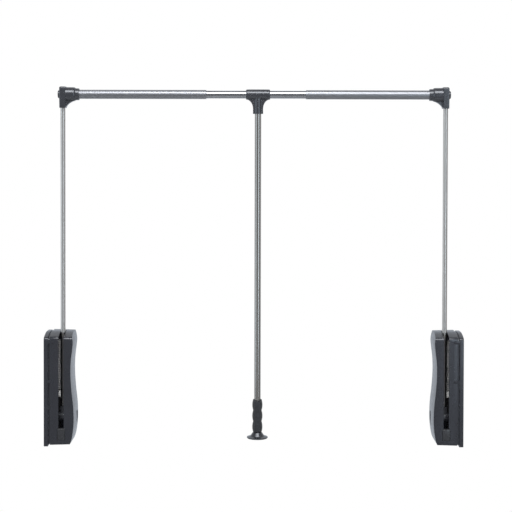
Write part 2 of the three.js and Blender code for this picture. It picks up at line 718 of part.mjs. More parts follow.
// Top of an arm, drawn about the crossing of the arm and rail axes
function elbow(railSeat) {
  const slab = prism('x', slabOutline(), [-elbowBack, elbowSlabEnd]);
  const collar = turned('x', [[0, 0], [collarRootRadius, 0], [collarStepRadius, collarStepReach],
    [elbowCollarRadius, elbowCollarReach], [elbowLipRadius, elbowReach], [0, elbowReach]]);
  const webFoot = [elbowSlabEnd, -elbowDrop];
  const web = prism('y', [[0, 0], [0, -elbowDrop], webFoot,
    ...pulled(webFoot, [elbowWebPullReach, -elbowWebPullDrop], [elbowReach, -elbowWebStart], webSteps),
    [elbowReach, 0]], [-elbowWebHalfDepth, elbowWebHalfDepth]);
  const railSpan = [railSeat - gap, elbowReach + overrun];
  const railBore = bar('x', outerRailRadius + gap, railSpan, middlePoint, fineSides);
  const armBore = bar('z', armRadius + gap, [-elbowDrop - overrun, gap - armTopDrop]);
  const stemBore = bar('x', capStemRadius + gap, [-elbowBack - overrun, -elbowBack + capStemLength + gap]);
  return cut(join(slab, collar, web), railBore, armBore, stemBore, ...elbowFixings(gap));
}

// Side view of the slab, in y and z: a round top, deep beside the rail, shallow round the arm
function slabOutline() {
  const top = Array.from({ length: 2 * crownSteps + 1 }, (_, i) => {
    const turn = Math.PI * i / (2 * crownSteps);
    return [elbowHalfDepth * Math.cos(turn), elbowShoulder + (elbowCrown - elbowShoulder) * Math.sin(turn)];
  });
  return [...top, [-elbowHalfDepth, -elbowWaist], [-elbowNeckHalfDepth, -elbowNeck],
    [-elbowNeckHalfDepth, -elbowDrop], [elbowNeckHalfDepth, -elbowDrop], [elbowNeckHalfDepth, -elbowNeck],
    [elbowHalfDepth, -elbowWaist]];
}

function fixing(place, surface, depth, ease) {
  const [shank, head] = [fixingRadius + ease, fixingHeadRadius + ease];
  const [seat, top] = [surface - ease, surface + fixingHead + ease];
  return turned('y', [[0, surface - depth], [shank, surface - depth], [shank, seat],
    [head, seat], [head, top], [0, top]], place, smallSides);
}

// Small screws in the rear, one into the arm tube and one into the rail tube
function elbowFixings(ease) {
  const armDepth = elbowNeckHalfDepth + gap - (armRadius - armWall - 2 * gap);
  const lipShare = (railFixingReach - elbowCollarReach) / (elbowReach - elbowCollarReach);
  const collarHere = THREE.MathUtils.lerp(elbowCollarRadius, elbowLipRadius, lipShare);
  const railDepth = collarHere - (outerRailRadius - railWall - 2 * gap);
  return [
    fixing([0, 0, -armFixingDrop], elbowNeckHalfDepth + gap, armDepth, ease),
    fixing([railFixingReach, 0, 0], collarHere - gap, railDepth, ease),
  ];
}

function elbowCap() {
  const face = -elbowBack - gap;
  return turned('x', [[0, face - capThickness], [capRadius - capEdge, face - capThickness],
    [capRadius, face - capThickness + capEdge], [capRadius, face], [capStemRadius, face],
    [capStemRadius, -elbowBack + capStemLength], [0, -elbowBack + capStemLength]]);
}

function outerRailTube(railSeat) {
  const span = [railSeat, railSeat + outerRailLength];
  const fixingPlace = [railFixingReach, 0, 0];
  const fixingHole = bar('y', fixingRadius + gap, [0, outerRailRadius + overrun], fixingPlace, smallSides);
  const rail = tube('x', outerRailRadius, outerRailRadius - railWall, span, middlePoint, fineSides);
  return cut(rail, fixingHole);
}

// Middle of the rail, drawn about the crossing of the rail and pull rod axes
function centreRailTube() {
  const half = innerRailLength / 2;
  const holeSpan = [0, innerRailRadius + overrun];
  const hole = bar('y', fixingRadius + gap, holeSpan, [teeFixingReach, 0, 0], smallSides);
  const rail = tube('x', innerRailRadius, innerRailRadius - railWall, [-half, half], middlePoint, fineSides);
  return cut(rail, hole);
}

function centreTubeGlide(sign) {
  const half = innerRailLength / 2;
  const head = outerRailRadius - railWall - gap;
  const stub = innerRailRadius - railWall - gap;
  return turned('x', [[0, sign * (half - glideStub)], [stub, sign * (half - glideStub)],
    [stub, sign * (half + gap)], [head, sign * (half + gap)], [head, sign * (half + glideLength)],
    [0, sign * (half + glideLength)]], middlePoint, fineSides);
}

function teeConnector() {
  const sleeve = bar('x', teeRadius, [-teeHalfLength, teeHalfLength], middlePoint, fineSides);
  const socket = bar('z', teeSocketRadius, [-teeDrop, 0], middlePoint, fineSides);
  const curve = pulled([teeFlank, -teeWebDrop], [teeFlank + gap, -teeRadius - teeWebPull],
    [teeWebReach, -teeRadius + gap], webSteps);
  const rightSide = [[teeFlank, -teeDrop], [teeFlank, -teeWebDrop], ...curve, [teeWebReach, 0]];
  const web = prism('y', [...rightSide, ...rightSide.map(([x, z]) => [-x, z]).reverse()],
    [-teeWebHalfDepth, teeWebHalfDepth]);
  const boreHalf = teeHalfLength + overrun;
  const railBore = bar('x', innerRailRadius + gap, [-boreHalf, boreHalf], middlePoint, fineSides);
  const rodBore = bar('z', pullRadius + gap, [-teeDrop - overrun, gap - pullTopDrop]);
  return cut(join(sleeve, socket, web), railBore, rodBore, teeFixing(gap));
}

// A screw in the rear of the sleeve holds the tee on the centre tube
function teeFixing(ease) {
  const depth = teeRadius - (innerRailRadius - railWall - 2 * gap);
  return fixing([teeFixingReach, 0, 0], teeRadius - gap, depth, ease);
}

function pullRodTube() {
  const span = [pullFoot - railHeight, -pullTopDrop];
  return tube('z', pullRadius, pullRadius - pullWall, span);
}

// Rubber grip with three lobes
function pullGrip() {
  const bore = pullRadius + gap;
  const [low, high] = [gripFoot - railHeight, gripTop - railHeight];
  const steps = gripLobes * gripSteps;
  const swell = Array.from({ length: steps + 1 }, (_, i) => {
    const wave = Math.abs(Math.sin(Math.PI * gripLobes * i / steps));
    const end = i === 0 || i === steps;
    const radius = end ? gripEndRadius : gripWaistRadius + (gripLobeRadius - gripWaistRadius) * wave;
    return [radius, low + (high - low) * i / steps];
  });
  return turned('z', [[bore, low], ...swell, [bore, high], [bore, low]]);
}

function gripFootFlare() {
  const at = (height) => height - railHeight;
  const top = at(gripFoot - gap);
  const rim = [footRimRadius, at(footRimTop)];
  const flare = pulled([footNeckRadius, top], [footPullRadius, at(footPullHeight)], rim, flareSteps);
  const underside = undersideShares.map(([out, rise]) =>
    [out * footRimRadius, at(footBottom + rise * footDome)]);
  return turned('z', [[0, at(footBottom + footDome)], ...underside,
    [footRimRadius - footEdge, at(footBottom)], [footRimRadius, at(footBottom + footEdge)],
    ...flare.reverse(), [footNeckRadius, top],
    [pullRadius + gap, top], [pullRadius + gap, at(pullFoot) - gap], [0, at(pullFoot) - gap]],
  middlePoint, fineSides);
}

// Scene graph
const closetRod = new THREE.Group();

function addPiece(group, name, piece, finish) {
  const mesh = new THREE.Mesh(geometryOf(piece), new THREE.MeshStandardMaterial(finishes[finish]));
  mesh.name = name;
  group.add(mesh);
}

// Mirror image for the right side, with its faces turned back outwards
const mirrored = (piece) => piece.mirror([1, 0, 0]);

const housingPieces = [
  ['mounting_plate', mountingPlate(), 'casePlastic'],
  ['outer_shell', outerShell(), 'casePlastic'],
  ['inner_shell', innerShell(), 'casePlastic'],
  ['badge_blank', badgeBlank(), 'casePlastic'],
  ['stop_block', stopBlock(), 'stopRubber'],
  ...screwPlaces.map((place, i) => [`case_screw_${i + 1}`, caseScrew(place), 'plainSteel']),
  ['pivot_pin', pivotPin(), 'plainSteel'],
  ['outer_pivot_bush', outerPivotBush(), 'nylon'],
  ['inner_pivot_bush', innerPivotBush(), 'nylon'],
  ['arm_hub', armHub(), 'jointPlastic'],
  ['arm_rivet', armRivet(), 'plainSteel'],
  ['arm_tube', armTube(), 'armSteel'],
  ['rack_carriage', rackCarriage(), 'nylon'],
  ['lift_spring', liftSpring(), 'springSteel'],
  ['spring_guide_rod', guideRod(), 'plainSteel'],
  ['spring_anchor', springAnchor(), 'jointPlastic'],
  ['rest_stop', restStop(), 'blackRubber'],
  ['damper_cylinder', damperCylinder(), 'springSteel'],
  ['damper_rod', damperRod(), 'plainSteel'],
];

const hands = [['left', 1, 0, leftRailSeat], ['right', -1, overallWidth, rightRailSeat]];
for (const [side, sign, wall, seat] of hands) {
  const hand = (piece) => (sign > 0 ? piece : mirrored(piece));
  const housing = new THREE.Group();
  housing.position.x = wall;
  housingPieces.forEach(([name, piece, finish]) => addPiece(housing, `${side}_${name}`, hand(piece), finish));
  const armTop = new THREE.Group();
  armTop.position.set(sign * armInset, 0, railRise);
  addPiece(armTop, `${side}_elbow`, hand(elbow(seat)), 'jointPlastic');
  addPiece(armTop, `${side}_elbow_cap`, hand(elbowCap()), 'jointPlastic');
  ['arm', 'rail'].forEach((tubeName, i) =>
    addPiece(armTop, `${side}_elbow_${tubeName}_screw`, hand(elbowFixings(0)[i]), 'plainSteel'));
  addPiece(armTop, `${side}_outer_rail_tube`, hand(outerRailTube(seat)), 'railSteel');
  housing.add(armTop);
  closetRod.add(housing);
}

const middle = new THREE.Group();
middle.position.set(armInset + teePlace, 0, railRise);
addPiece(middle, 'centre_rail_tube', centreRailTube(), 'railSteel');
addPiece(middle, 'left_tube_glide', centreTubeGlide(-1), 'nylon');
addPiece(middle, 'right_tube_glide', centreTubeGlide(1), 'nylon');
addPiece(middle, 'tee_connector', teeConnector(), 'jointPlastic');
addPiece(middle, 'tee_screw', teeFixing(0), 'plainSteel');
addPiece(middle, 'pull_rod', pullRodTube(), 'rodChrome');
addPiece(middle, 'pull_grip', pullGrip(), 'blackRubber');
addPiece(middle, 'grip_foot', gripFootFlare(), 'footPlastic');
closetRod.add(middle);

export default closetRod;
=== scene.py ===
import math
import bmesh
import bpy
from mathutils import Matrix, Vector


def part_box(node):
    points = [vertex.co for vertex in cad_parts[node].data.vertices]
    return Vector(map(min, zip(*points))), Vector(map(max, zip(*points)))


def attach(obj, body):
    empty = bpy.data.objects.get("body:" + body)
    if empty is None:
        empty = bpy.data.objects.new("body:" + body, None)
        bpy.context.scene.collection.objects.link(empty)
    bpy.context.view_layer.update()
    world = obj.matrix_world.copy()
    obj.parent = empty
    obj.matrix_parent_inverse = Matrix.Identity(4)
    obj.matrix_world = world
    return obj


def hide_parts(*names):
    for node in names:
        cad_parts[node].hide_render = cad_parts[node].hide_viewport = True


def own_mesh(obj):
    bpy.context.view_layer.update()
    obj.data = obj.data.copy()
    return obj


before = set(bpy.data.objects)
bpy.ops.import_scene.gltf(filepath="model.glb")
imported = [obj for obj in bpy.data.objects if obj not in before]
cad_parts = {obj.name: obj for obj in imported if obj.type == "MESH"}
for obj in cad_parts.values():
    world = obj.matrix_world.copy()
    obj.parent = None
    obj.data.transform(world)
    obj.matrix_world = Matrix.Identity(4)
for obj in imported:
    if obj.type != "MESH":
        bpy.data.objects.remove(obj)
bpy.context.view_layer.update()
print("frame loaded:", len(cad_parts), "nodes")

# Lengths below are in millimetres, in the left housing's frame: x from the wall, y and z from the pivot.
mm = 0.001
wallToWall = 1008
pivotHeight = 65
railRise = 782
armPlane = 41.5
beyond = 1  # how far a cutting tool reaches past what it cuts
directions = {"x": Vector((1, 0, 0)), "y": Vector((0, 1, 0)), "z": Vector((0, 0, 1))}


# Tools for modelling

mergeWithin, thinnestEdge = 0.004 * mm, 0.001 * mm
cornerSteps, cornerShare = 4, 0.45  # a rounded corner's steps, and how much of a side it may take


def clearSelection():
    if bpy.context.mode != "OBJECT":
        bpy.ops.object.mode_set(mode="OBJECT")
    bpy.ops.object.select_all(action="DESELECT")


def makeActive(piece):
    clearSelection()
    piece.select_set(True)
    bpy.context.view_layer.objects.active = piece
    return piece


def settle(name):  # leaves the piece at the origin, its place in its mesh
    if bpy.context.mode != "OBJECT":
        bpy.ops.object.mode_set(mode="OBJECT")
    bpy.ops.object.transform_apply(location=True, rotation=True, scale=True)
    piece = bpy.context.view_layer.objects.active
    piece.name = piece.data.name = name
    return piece


def block(name, xs, ys, zs):
    clearSelection()
    spans = (xs, ys, zs)
    bpy.ops.mesh.primitive_cube_add(
        size=1, location=[(a + b) / 2 * mm for a, b in spans], scale=[(b - a) * mm for a, b in spans])
    return settle(name)


def drawChain(points):  # one vertex, extruded from point to point
    clearSelection()
    bpy.ops.mesh.primitive_plane_add(size=mm, location=points[0])
    bpy.ops.object.mode_set(mode="EDIT")
    bpy.ops.mesh.select_mode(type="VERT")
    bpy.ops.mesh.select_all(action="SELECT")
    bpy.ops.mesh.merge(type="CENTER")
    for here, there in zip(points, points[1:]):
        bpy.ops.mesh.extrude_vertices_move(TRANSFORM_OT_translate={"value": there - here})
    bpy.ops.mesh.select_all(action="SELECT")


def turned(name, axis, profile, place=(0, 0, 0), sides=64):  # profile of (radius, place along the axis)
    along = directions[axis]
    out = directions["x" if axis == "y" else "y"]
    centre = Vector(place) * mm
    points = [centre + out * radius * mm + along * at * mm for radius, at in profile]
    drawChain(points)
    bpy.ops.mesh.spin(steps=sides, angle=2 * math.pi, center=centre, axis=along)
    bpy.ops.mesh.select_all(action="SELECT")
    bpy.ops.mesh.remove_doubles(threshold=mergeWithin)
    bpy.ops.mesh.dissolve_degenerate(threshold=thinnestEdge)
    bpy.ops.mesh.normals_make_consistent(inside=False)
    return settle(name)


def prism(name, axis, outline, span):  # outline in y and z along x, in x and z along y, in x and y along z
    start = span[0]
    flat = {
        "x": lambda a, b: (start, a, b),
        "y": lambda a, b: (a, start, b),
        "z": lambda a, b: (a, b, start),
    }
    points = [Vector(flat[axis](a, b)) * mm for a, b in outline]
    drawChain(points + points[:1])
    bpy.ops.mesh.remove_doubles(threshold=mergeWithin)
    bpy.ops.mesh.select_all(action="SELECT")
    bpy.ops.mesh.edge_face_add()
    bpy.ops.mesh.extrude_region_move(
        TRANSFORM_OT_translate={"value": directions[axis] * (span[1] - span[0]) * mm})
    bpy.ops.mesh.select_all(action="SELECT")
    bpy.ops.mesh.normals_make_consistent(inside=False)
    return settle(name)


def eased(profile, closedUp=False):  # rounds each point that gives a third number, its radius
    done = []
    count = len(profile)
    for i, point in enumerate(profile):
        if len(point) < 3 or (not closedUp and i in (0, count - 1)):
            done.append(tuple(point[:2]))
            continue
        here = Vector(point[:2])
        before = Vector(profile[i - 1][:2]) - here
        after = Vector(profile[(i + 1) % count][:2]) - here
        reach = min(point[2], before.length * cornerShare, after.length * cornerShare)
        start, end = here + before.normalized() * reach, here + after.normalized() * reach
        for step in range(cornerSteps + 1):
            t = step / cornerSteps
            done.append(tuple(start * (1 - t) ** 2 + here * 2 * t * (1 - t) + end * t ** 2))
    return done


def pulled(start, pull, end, steps=10):  # curve from start to end without its start
    a, b, c = Vector(start), Vector(pull), Vector(end)
    return [tuple(a * (1 - t) ** 2 + b * 2 * t * (1 - t) + c * t ** 2)
            for t in (step / steps for step in range(1, steps + 1))]


def useModifier(piece, kind, **settings):
    makeActive(piece)
    modifier = piece.modifiers.new(kind.title(), kind)
    for key, value in settings.items():
        setattr(modifier, key, value)
    bpy.ops.object.modifier_apply(modifier=modifier.name)
    return piece


def combine(piece, tool, operation):
    useModifier(piece, "BOOLEAN", object=tool, operation=operation, solver="EXACT")
    bpy.data.objects.remove(tool, do_unlink=True)
    return piece


def cutOut(piece, *tools):
    for tool in tools:
        combine(piece, tool, "DIFFERENCE")
    return piece


def addTo(piece, *tools):
    for tool in tools:
        combine(piece, tool, "UNION")
    return piece


def pickEdges(piece, wanted):
    makeActive(piece)
    bpy.ops.object.mode_set(mode="EDIT")
    bpy.ops.mesh.select_mode(type="EDGE")
    bpy.ops.mesh.select_all(action="DESELECT")
    mesh = bmesh.from_edit_mesh(piece.data)
    for edge in mesh.edges:
        if len(edge.link_faces) == 2 and wanted(edge, [v.co / mm for v in edge.verts]):
            edge.select_set(True)
    bmesh.update_edit_mesh(piece.data)


def easeEdges(piece, wanted, radius, segments=3):
    pickEdges(piece, wanted)
    bpy.ops.mesh.bevel(offset=radius * mm, segments=segments, profile=0.5, affect="EDGES", clamp_overlap=True)
    bpy.ops.object.mode_set(mode="OBJECT")
    return piece


def sharp(edge, least):
    return edge.calc_face_angle(0) > math.radians(least)


def easeAll(piece, radius, segments=3, least=30):
    return useModifier(piece, "BEVEL", width=radius * mm, segments=segments, limit_method="ANGLE",
                       angle_limit=math.radians(least), use_clamp_overlap=True)


def smooth(piece, angle=40):
    makeActive(piece)
    bpy.ops.object.shade_smooth_by_angle(angle=math.radians(angle))
    return piece


def melt(piece, voxel, rounds):  # makes one cast skin of joined forms
    makeActive(piece)
    piece.data.remesh_voxel_size = voxel * mm
    bpy.ops.object.voxel_remesh()
    return useModifier(piece, "SMOOTH", factor=0.5, iterations=rounds)


def shifted(piece, move):
    piece.data.transform(Matrix.Translation(Vector(move) * mm))
    return piece


def copied(piece, name):
    twin = piece.copy()
    twin.data = piece.data.copy()
    twin.name = twin.data.name = name
    bpy.context.collection.objects.link(twin)
    return twin


def mirroredCopy(piece, name):
    twin = copied(piece, name)
    twin.data.transform(Matrix.Translation((wallToWall * mm, 0, 0)) @ Matrix.Scale(-1, 4, (1, 0, 0)))
    twin.data.flip_normals()
    return twin


# Finishes

usualLook = {
    "metal": 0, "specular": 0.5, "tint": (1, 1, 1), "stretch": (1, 1, 1),
    "blotch": 60, "spread": 0.08,  # how fine and how strong the colour's change is
    "smear": 140, "roughSpread": 0.04,  # the same for roughness
    "grain": 1500, "bump": 0.15, "depth": 0.05,
    "paintedShade": (0.32, 0.325, 0.34), "fade": 8,  # colour of the painted shade at the low end, and how far the change to it takes
}
noiseDetail = {"blotch": 3, "smear": 5, "grain": 2}
noiseRange = (0.3, 0.7)


def finish(name, ownLook):
    look = {**usualLook, **ownLook}
    material = bpy.data.materials.new(name)
    material.use_nodes = True
    nodes, links = material.node_tree.nodes, material.node_tree.links
    shader = nodes["Principled BSDF"]
    coordinates = nodes.new("ShaderNodeTexCoord")
    stretch = nodes.new("ShaderNodeMapping")
    stretch.inputs["Scale"].default_value = look["stretch"]
    links.new(coordinates.outputs["Object"], stretch.inputs["Vector"])

    def noise(kind):
        node = nodes.new("ShaderNodeTexNoise")
        node.inputs["Scale"].default_value = look[kind]
        node.inputs["Detail"].default_value = noiseDetail[kind]
        links.new(stretch.outputs["Vector"], node.inputs["Vector"])
        return node.outputs["Fac"]

    ramp = nodes.new("ShaderNodeValToRGB")
    shade, spread = Vector(look["color"]), look["spread"]
    for element, position, level in zip(ramp.color_ramp.elements, noiseRange, (1 - spread, 1 + spread)):
        element.position = position
        element.color = (*(shade * level), 1)
    links.new(noise("blotch"), ramp.inputs["Fac"])
    color = ramp.outputs["Color"]
    if "paintedShadeBelow" in look:  # painted shade: the end that runs inside the housing is darkened below a set height
        split, fade = nodes.new("ShaderNodeSeparateXYZ"), nodes.new("ShaderNodeMapRange")
        links.new(coordinates.outputs["Object"], split.inputs["Vector"])
        links.new(split.outputs["Z"], fade.inputs["Value"])
        top = look["paintedShadeBelow"] * mm
        fade.inputs["From Min"].default_value = top - look["fade"] * mm
        fade.inputs["From Max"].default_value = top
        mix = nodes.new("ShaderNodeMix")
        mix.data_type = "RGBA"
        mix.inputs["A"].default_value = (*look["paintedShade"], 1)
        links.new(fade.outputs["Result"], mix.inputs["Factor"])
        links.new(color, mix.inputs["B"])
        color = mix.outputs["Result"]
    links.new(color, shader.inputs["Base Color"])

    wear = nodes.new("ShaderNodeMapRange")
    wear.inputs["From Min"].default_value, wear.inputs["From Max"].default_value = noiseRange
    wear.inputs["To Min"].default_value = look["rough"] - look["roughSpread"]
    wear.inputs["To Max"].default_value = look["rough"] + look["roughSpread"]
    links.new(noise("smear"), wear.inputs["Value"])
    links.new(wear.outputs["Result"], shader.inputs["Roughness"])

    bump = nodes.new("ShaderNodeBump")
    bump.inputs["Strength"].default_value = look["bump"]
    bump.inputs["Distance"].default_value = look["depth"] * mm
    links.new(noise("grain"), bump.inputs["Height"])
    links.new(bump.outputs["Normal"], shader.inputs["Normal"])
    shader.inputs["Metallic"].default_value = look["metal"]
    shader.inputs["Specular IOR Level"].default_value = look["specular"]
    shader.inputs["Specular Tint"].default_value = (*look["tint"], 1)
    return material


looks = {
    "casePlastic": {"color": (0.014, 0.015, 0.020), "rough": 0.30, "specular": 0.8, "tint": (0.92, 0.94, 1),
                    "blotch": 25, "grain": 2200, "bump": 0.06},
    "badgePlastic": {"color": (0.030, 0.032, 0.037), "rough": 0.30, "grain": 2600, "bump": 0.1},
    "jointPlastic": {"color": (0.019, 0.020, 0.025), "rough": 0.25, "specular": 1.0, "tint": (0.9, 0.94, 1),
                     "grain": 2400, "bump": 0.02},
    "stopRubber": {"color": (0.018, 0.019, 0.023), "rough": 0.32, "specular": 0.8,
                   "grain": 1800, "bump": 0.1},
    "blackRubber": {"color": (0.019, 0.020, 0.024), "rough": 0.46, "grain": 1600, "bump": 0.4, "depth": 0.06},
    "footPlastic": {"color": (0.016, 0.017, 0.021), "rough": 0.29, "specular": 1.0, "tint": (0.9, 0.94, 1),
                    "grain": 2400, "bump": 0.05},
    "whiteNylon": {"color": (0.84, 0.84, 0.83), "rough": 0.48, "bump": 0.2},
    # the carriage's lower part, inside the chamber, gets painted shade
    "carriageNylonPaintedShade": {"color": (0.84, 0.84, 0.83), "rough": 0.48, "bump": 0.2,
                      "paintedShadeBelow": 50, "paintedShade": (0.02, 0.02, 0.022)},
    # the arm tube gets painted shade below 198 mm, where it runs down into the slot
    "armSteel": {"color": (0.555, 0.54, 0.53), "rough": 0.36, "metal": 1, "stretch": (1, 1, 0.02),
                 "grain": 2600, "depth": 0.004, "paintedShadeBelow": 198},
    "railSteel": {"color": (0.295, 0.305, 0.33), "rough": 0.42, "metal": 1, "stretch": (0.02, 1, 1),
                  "grain": 3000, "depth": 0.003},
    "innerRailSteel": {"color": (0.36, 0.375, 0.405), "rough": 0.20, "roughSpread": 0.02, "metal": 1,
                       "stretch": (0.02, 1, 1), "grain": 3000, "depth": 0.001},
    "rodSteel": {"color": (0.395, 0.385, 0.375), "rough": 0.20, "roughSpread": 0.02, "metal": 1,
                 "stretch": (1, 1, 0.02), "grain": 3000, "depth": 0.001},
    "springSteel": {"color": (0.74, 0.74, 0.75), "rough": 0.45, "metal": 0.1, "grain": 2600, "depth": 0.006},
    "plainSteel": {"color": (0.40, 0.40, 0.41), "rough": 0.38, "metal": 1, "grain": 2200, "depth": 0.006},
}
finishes = {name: finish(name, look) for name, look in looks.items()}
print("finishes:", len(finishes))


def place(piece, body, finishName, *nodes):  # finish, body and the CAD node that the piece stands for
    piece.data.materials.clear()
    piece.data.materials.append(finishes[finishName])
    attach(piece, body)
    if nodes:
        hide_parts(*nodes)


def placePair(piece, tail, body, finishName):  # left piece and its mirror image on the right
    twin = mirroredCopy(piece, f"right_{tail}_shape")
    piece.name = piece.data.name = f"left_{tail}_shape"
    place(piece, f"left_{body}", finishName, f"left_{tail}")
    place(twin, f"right_{body}", finishName, f"right_{tail}")


# Housing case, its foot and crown as heights from the foot of the mounting plate

case = {
    "width": 71.7, "front": 37, "rear": 40, "foot": 4.4, "crown": 273.3, "crownShare": 0.58,
    "rearDrop": 0.8, "rearSweep": 0.82,
    "rollDepth": 6.5, "rollDrop": 7.9, "rollSlope": 0.32, "rollFoot": 17.5,
    "topSteps": (12, 14, 10), "waveSteps": 4, "wall": 2.5, "back": 2, "parting": 0.05, "gap": 0.3,
    "draft": 1.5, "outerEase": 2.4, "seamEase": 0.5, "shade": 35,
    "seamEnd": 14.9, "seamDepth": 4.5, "seamFoot": 1, "seamCrown": 2.2, "plate": 10, "plateDrop": 1.5,
    "wave": [(0.865, 0), (0.925, 0.04), (0.973, 0.11), (1, 0.19), (1, 0.27), (0.985, 0.35), (0.935, 0.475),
             (0.9, 0.61), (0.906, 0.735), (0.95, 0.84), (0.974, 0.905), (0.958, 0.95), (0.925, 0.985),
             (0.9, 1)],
}
caseFootZ = case["foot"] - pivotHeight
caseCrownZ = case["crown"] - pivotHeight


def sideOutline(foot, crown, inset, corner=0.0):  # in y and z, with heights from the pivot
    front, rear = inset - case["front"], case["rear"] - inset
    depth = case["front"] + case["rear"]
    low, high = foot + inset, crown - inset
    peak = (case["crownShare"] * depth - case["front"], high)
    rearTop = (rear, high - case["rearDrop"])
    rearPull = (case["rearSweep"] * depth - case["front"], high)
    slope = case["rollSlope"]
    rollTop = (front + case["rollDepth"], high - case["rollDrop"])
    slopePull = (rollTop[0] + case["rollDrop"] / slope, high)
    rollPull = (front, rollTop[1] - slope * case["rollDepth"])
    rearSteps, slopeSteps, rollSteps = case["topSteps"]
    top = pulled(rearTop, rearPull, peak, rearSteps)
    top += pulled(peak, slopePull, rollTop, slopeSteps)
    top += pulled(rollTop, rollPull, (front, high - case["rollFoot"]), rollSteps)
    if corner:
        return eased([(front, low, corner), (rear, low, corner), (*rearTop, corner), *top], True)
    return [(front, low), (rear, low), rearTop, *top]


def waveLine(inset):  # curve through the wave's knots, in x and z
    height = case["crown"] - case["foot"]
    knots = [Vector((across * case["width"] - inset, caseFootZ + along * height))
             for across, along in case["wave"]]
    line = []
    for i in range(len(knots) - 1):
        before, after = knots[max(i - 1, 0)], knots[min(i + 2, len(knots) - 1)]
        start, end = knots[i], knots[i + 1]
        leave, arrive = (end - before) / 2, (after - start) / 2
        cubed, squared = 2 * start - 2 * end + leave + arrive, 3 * end - 3 * start - 2 * leave - arrive
        for step in range(case["waveSteps"]):
            t = step / case["waveSteps"]
            line.append(tuple(cubed * t ** 3 + squared * t ** 2 + leave * t + start))
    return line + [tuple(knots[-1])]


def waveBlock(name, inset, start):
    wave = waveLine(inset)
    low, high = caseFootZ - beyond, caseCrownZ + beyond
    outline = [(start, low), (wave[0][0], low), *wave, (wave[-1][0], high), (start, high)]
    return prism(name, "y", outline, (-case["front"] - beyond, case["rear"] + beyond))


def draftedCase(name, inset, span):  # foot and crown lean in towards the waved side
    body = prism(name, "x", sideOutline(caseFootZ, caseCrownZ, inset), span)
    middle, half = (caseFootZ + caseCrownZ) / 2, (case["crown"] - case["foot"]) / 2
    for vertex in body.data.vertices:
        share = (vertex.co.x / mm - case["seamEnd"]) / (case["width"] - case["seamEnd"])
        vertex.co.z = (middle + (vertex.co.z / mm - middle) * (1 - case["draft"] * share / half)) * mm
    return body


def buildCase():
    end = case["seamEnd"]
    body = draftedCase("caseBody", 0, (end, case["width"] + beyond))
    combine(body, waveBlock("waveTool", 0, end - beyond), "INTERSECT")
    pastSeam = end + 0.01
    easeEdges(body, lambda edge, ends: sharp(edge, 25) and any(at.x > pastSeam for at in ends),
              case["outerEase"], 5)
    easeEdges(body, lambda edge, ends: sharp(edge, 50) and all(abs(at.x - end) < 0.02 for at in ends),
              case["seamEase"], 2)
    depth = case["seamDepth"]
    neck = sideOutline(caseFootZ + case["seamFoot"] - depth,
                       caseCrownZ - case["plateDrop"] - case["seamCrown"] + depth, depth)
    addTo(body, prism("neck", "x", neck, (case["plate"] + case["gap"], end + beyond)))
    chamber = draftedCase("chamber", case["wall"], (end + case["back"], case["width"]))
    combine(chamber, waveBlock("waveTool", case["wall"], 0), "INTERSECT")
    return cutOut(body, chamber)


slot = {"width": 12.7, "foot": -21.5, "rear": 17, "mouth": 0.5,
        "stopWidth": 18.5, "stopFoot": -48.8, "stopDepth": 12,
        "stopSide": 0.4, "stopBrow": 1.8, "stopEase": 0.6}


def slotCutters():
    left, right = armPlane - slot["width"] / 2, armPlane + slot["width"] / 2
    front, mouth = -case["front"], slot["mouth"]
    outline = [(left - mouth, front - beyond), (left - mouth, front), (left, front + mouth),
               (left, slot["rear"]), (right, slot["rear"]),
               (right, front + mouth), (right + mouth, front), (right + mouth, front - beyond)]
    opening = prism("slotTool", "z", outline, (slot["foot"], caseCrownZ + beyond))
    reach = slot["stopWidth"] / 2 + case["gap"]
    window = block("windowTool", (armPlane - reach, armPlane + reach),
                   (front - beyond, front + case["wall"] + beyond),
                   (slot["stopFoot"] - case["gap"], slot["foot"]))
    return opening, window


screwPlaces = [(0, 18 - pivotHeight), (34, 183 - pivotHeight), (34, 255 - pivotHeight)]
pockets = {"screw": 3.3, "pin": 6.3, "end": 12.6, "pinBore": 4.3, "pinEnd": 30}
tongue = {"root": 2, "reach": 24.5, "height": 7, "thickness": 0.9, "ease": 0.2,
          "heights": (157 - pivotHeight, 252 - pivotHeight)}
badge = {"front": 10, "rear": 31, "foot": 43 - pivotHeight, "height": 33, "recess": 1.7, "thickness": 0.5,
         "corner": 2, "ease": 0.15}
aroundCase = {"side": 90, "depths": (-50, 50), "heights": (-70, 220)}  # holds the whole case


def badgeOutline(ease):
    low, high = badge["foot"] + ease, badge["foot"] + badge["height"] - ease
    front, rear = badge["front"] + ease, badge["rear"] - ease
    corners = [(front, low), (rear, low), (rear, high), (front, high)]
    return eased([(*corner, badge["corner"]) for corner in corners], True)


def cutPockets(outer):  # for the plate's tongues, the case screws and the pivot pin
    halfHeight = tongue["height"] / 2 + case["gap"]
    sink = tongue["thickness"] + case["gap"]
    across = (case["seamEnd"] - tongue["root"], tongue["reach"] + case["gap"])
    for height in tongue["heights"]:
        for depth in ((-case["front"] - beyond, sink - case["front"]),
                      (case["rear"] - sink, case["rear"] + beyond)):
            cutOut(outer, block("tongueTool", across, depth, (height - halfHeight, height + halfHeight)))
    end, screw, pin, bore = pockets["end"], pockets["screw"], pockets["pin"], pockets["pinBore"]
    for y, z in screwPlaces:
        cutOut(outer, turned("screwTool", "x", [(0, 0), (screw, 0), (screw, end), (0, end)], (0, y, z), 24))
    pinEnd = pockets["pinEnd"]
    pinBore = [(0, 0), (pin, 0), (pin, end), (bore, end), (bore, pinEnd), (0, pinEnd)]
    cutOut(outer, turned("pinTool", "x", pinBore, sides=32))


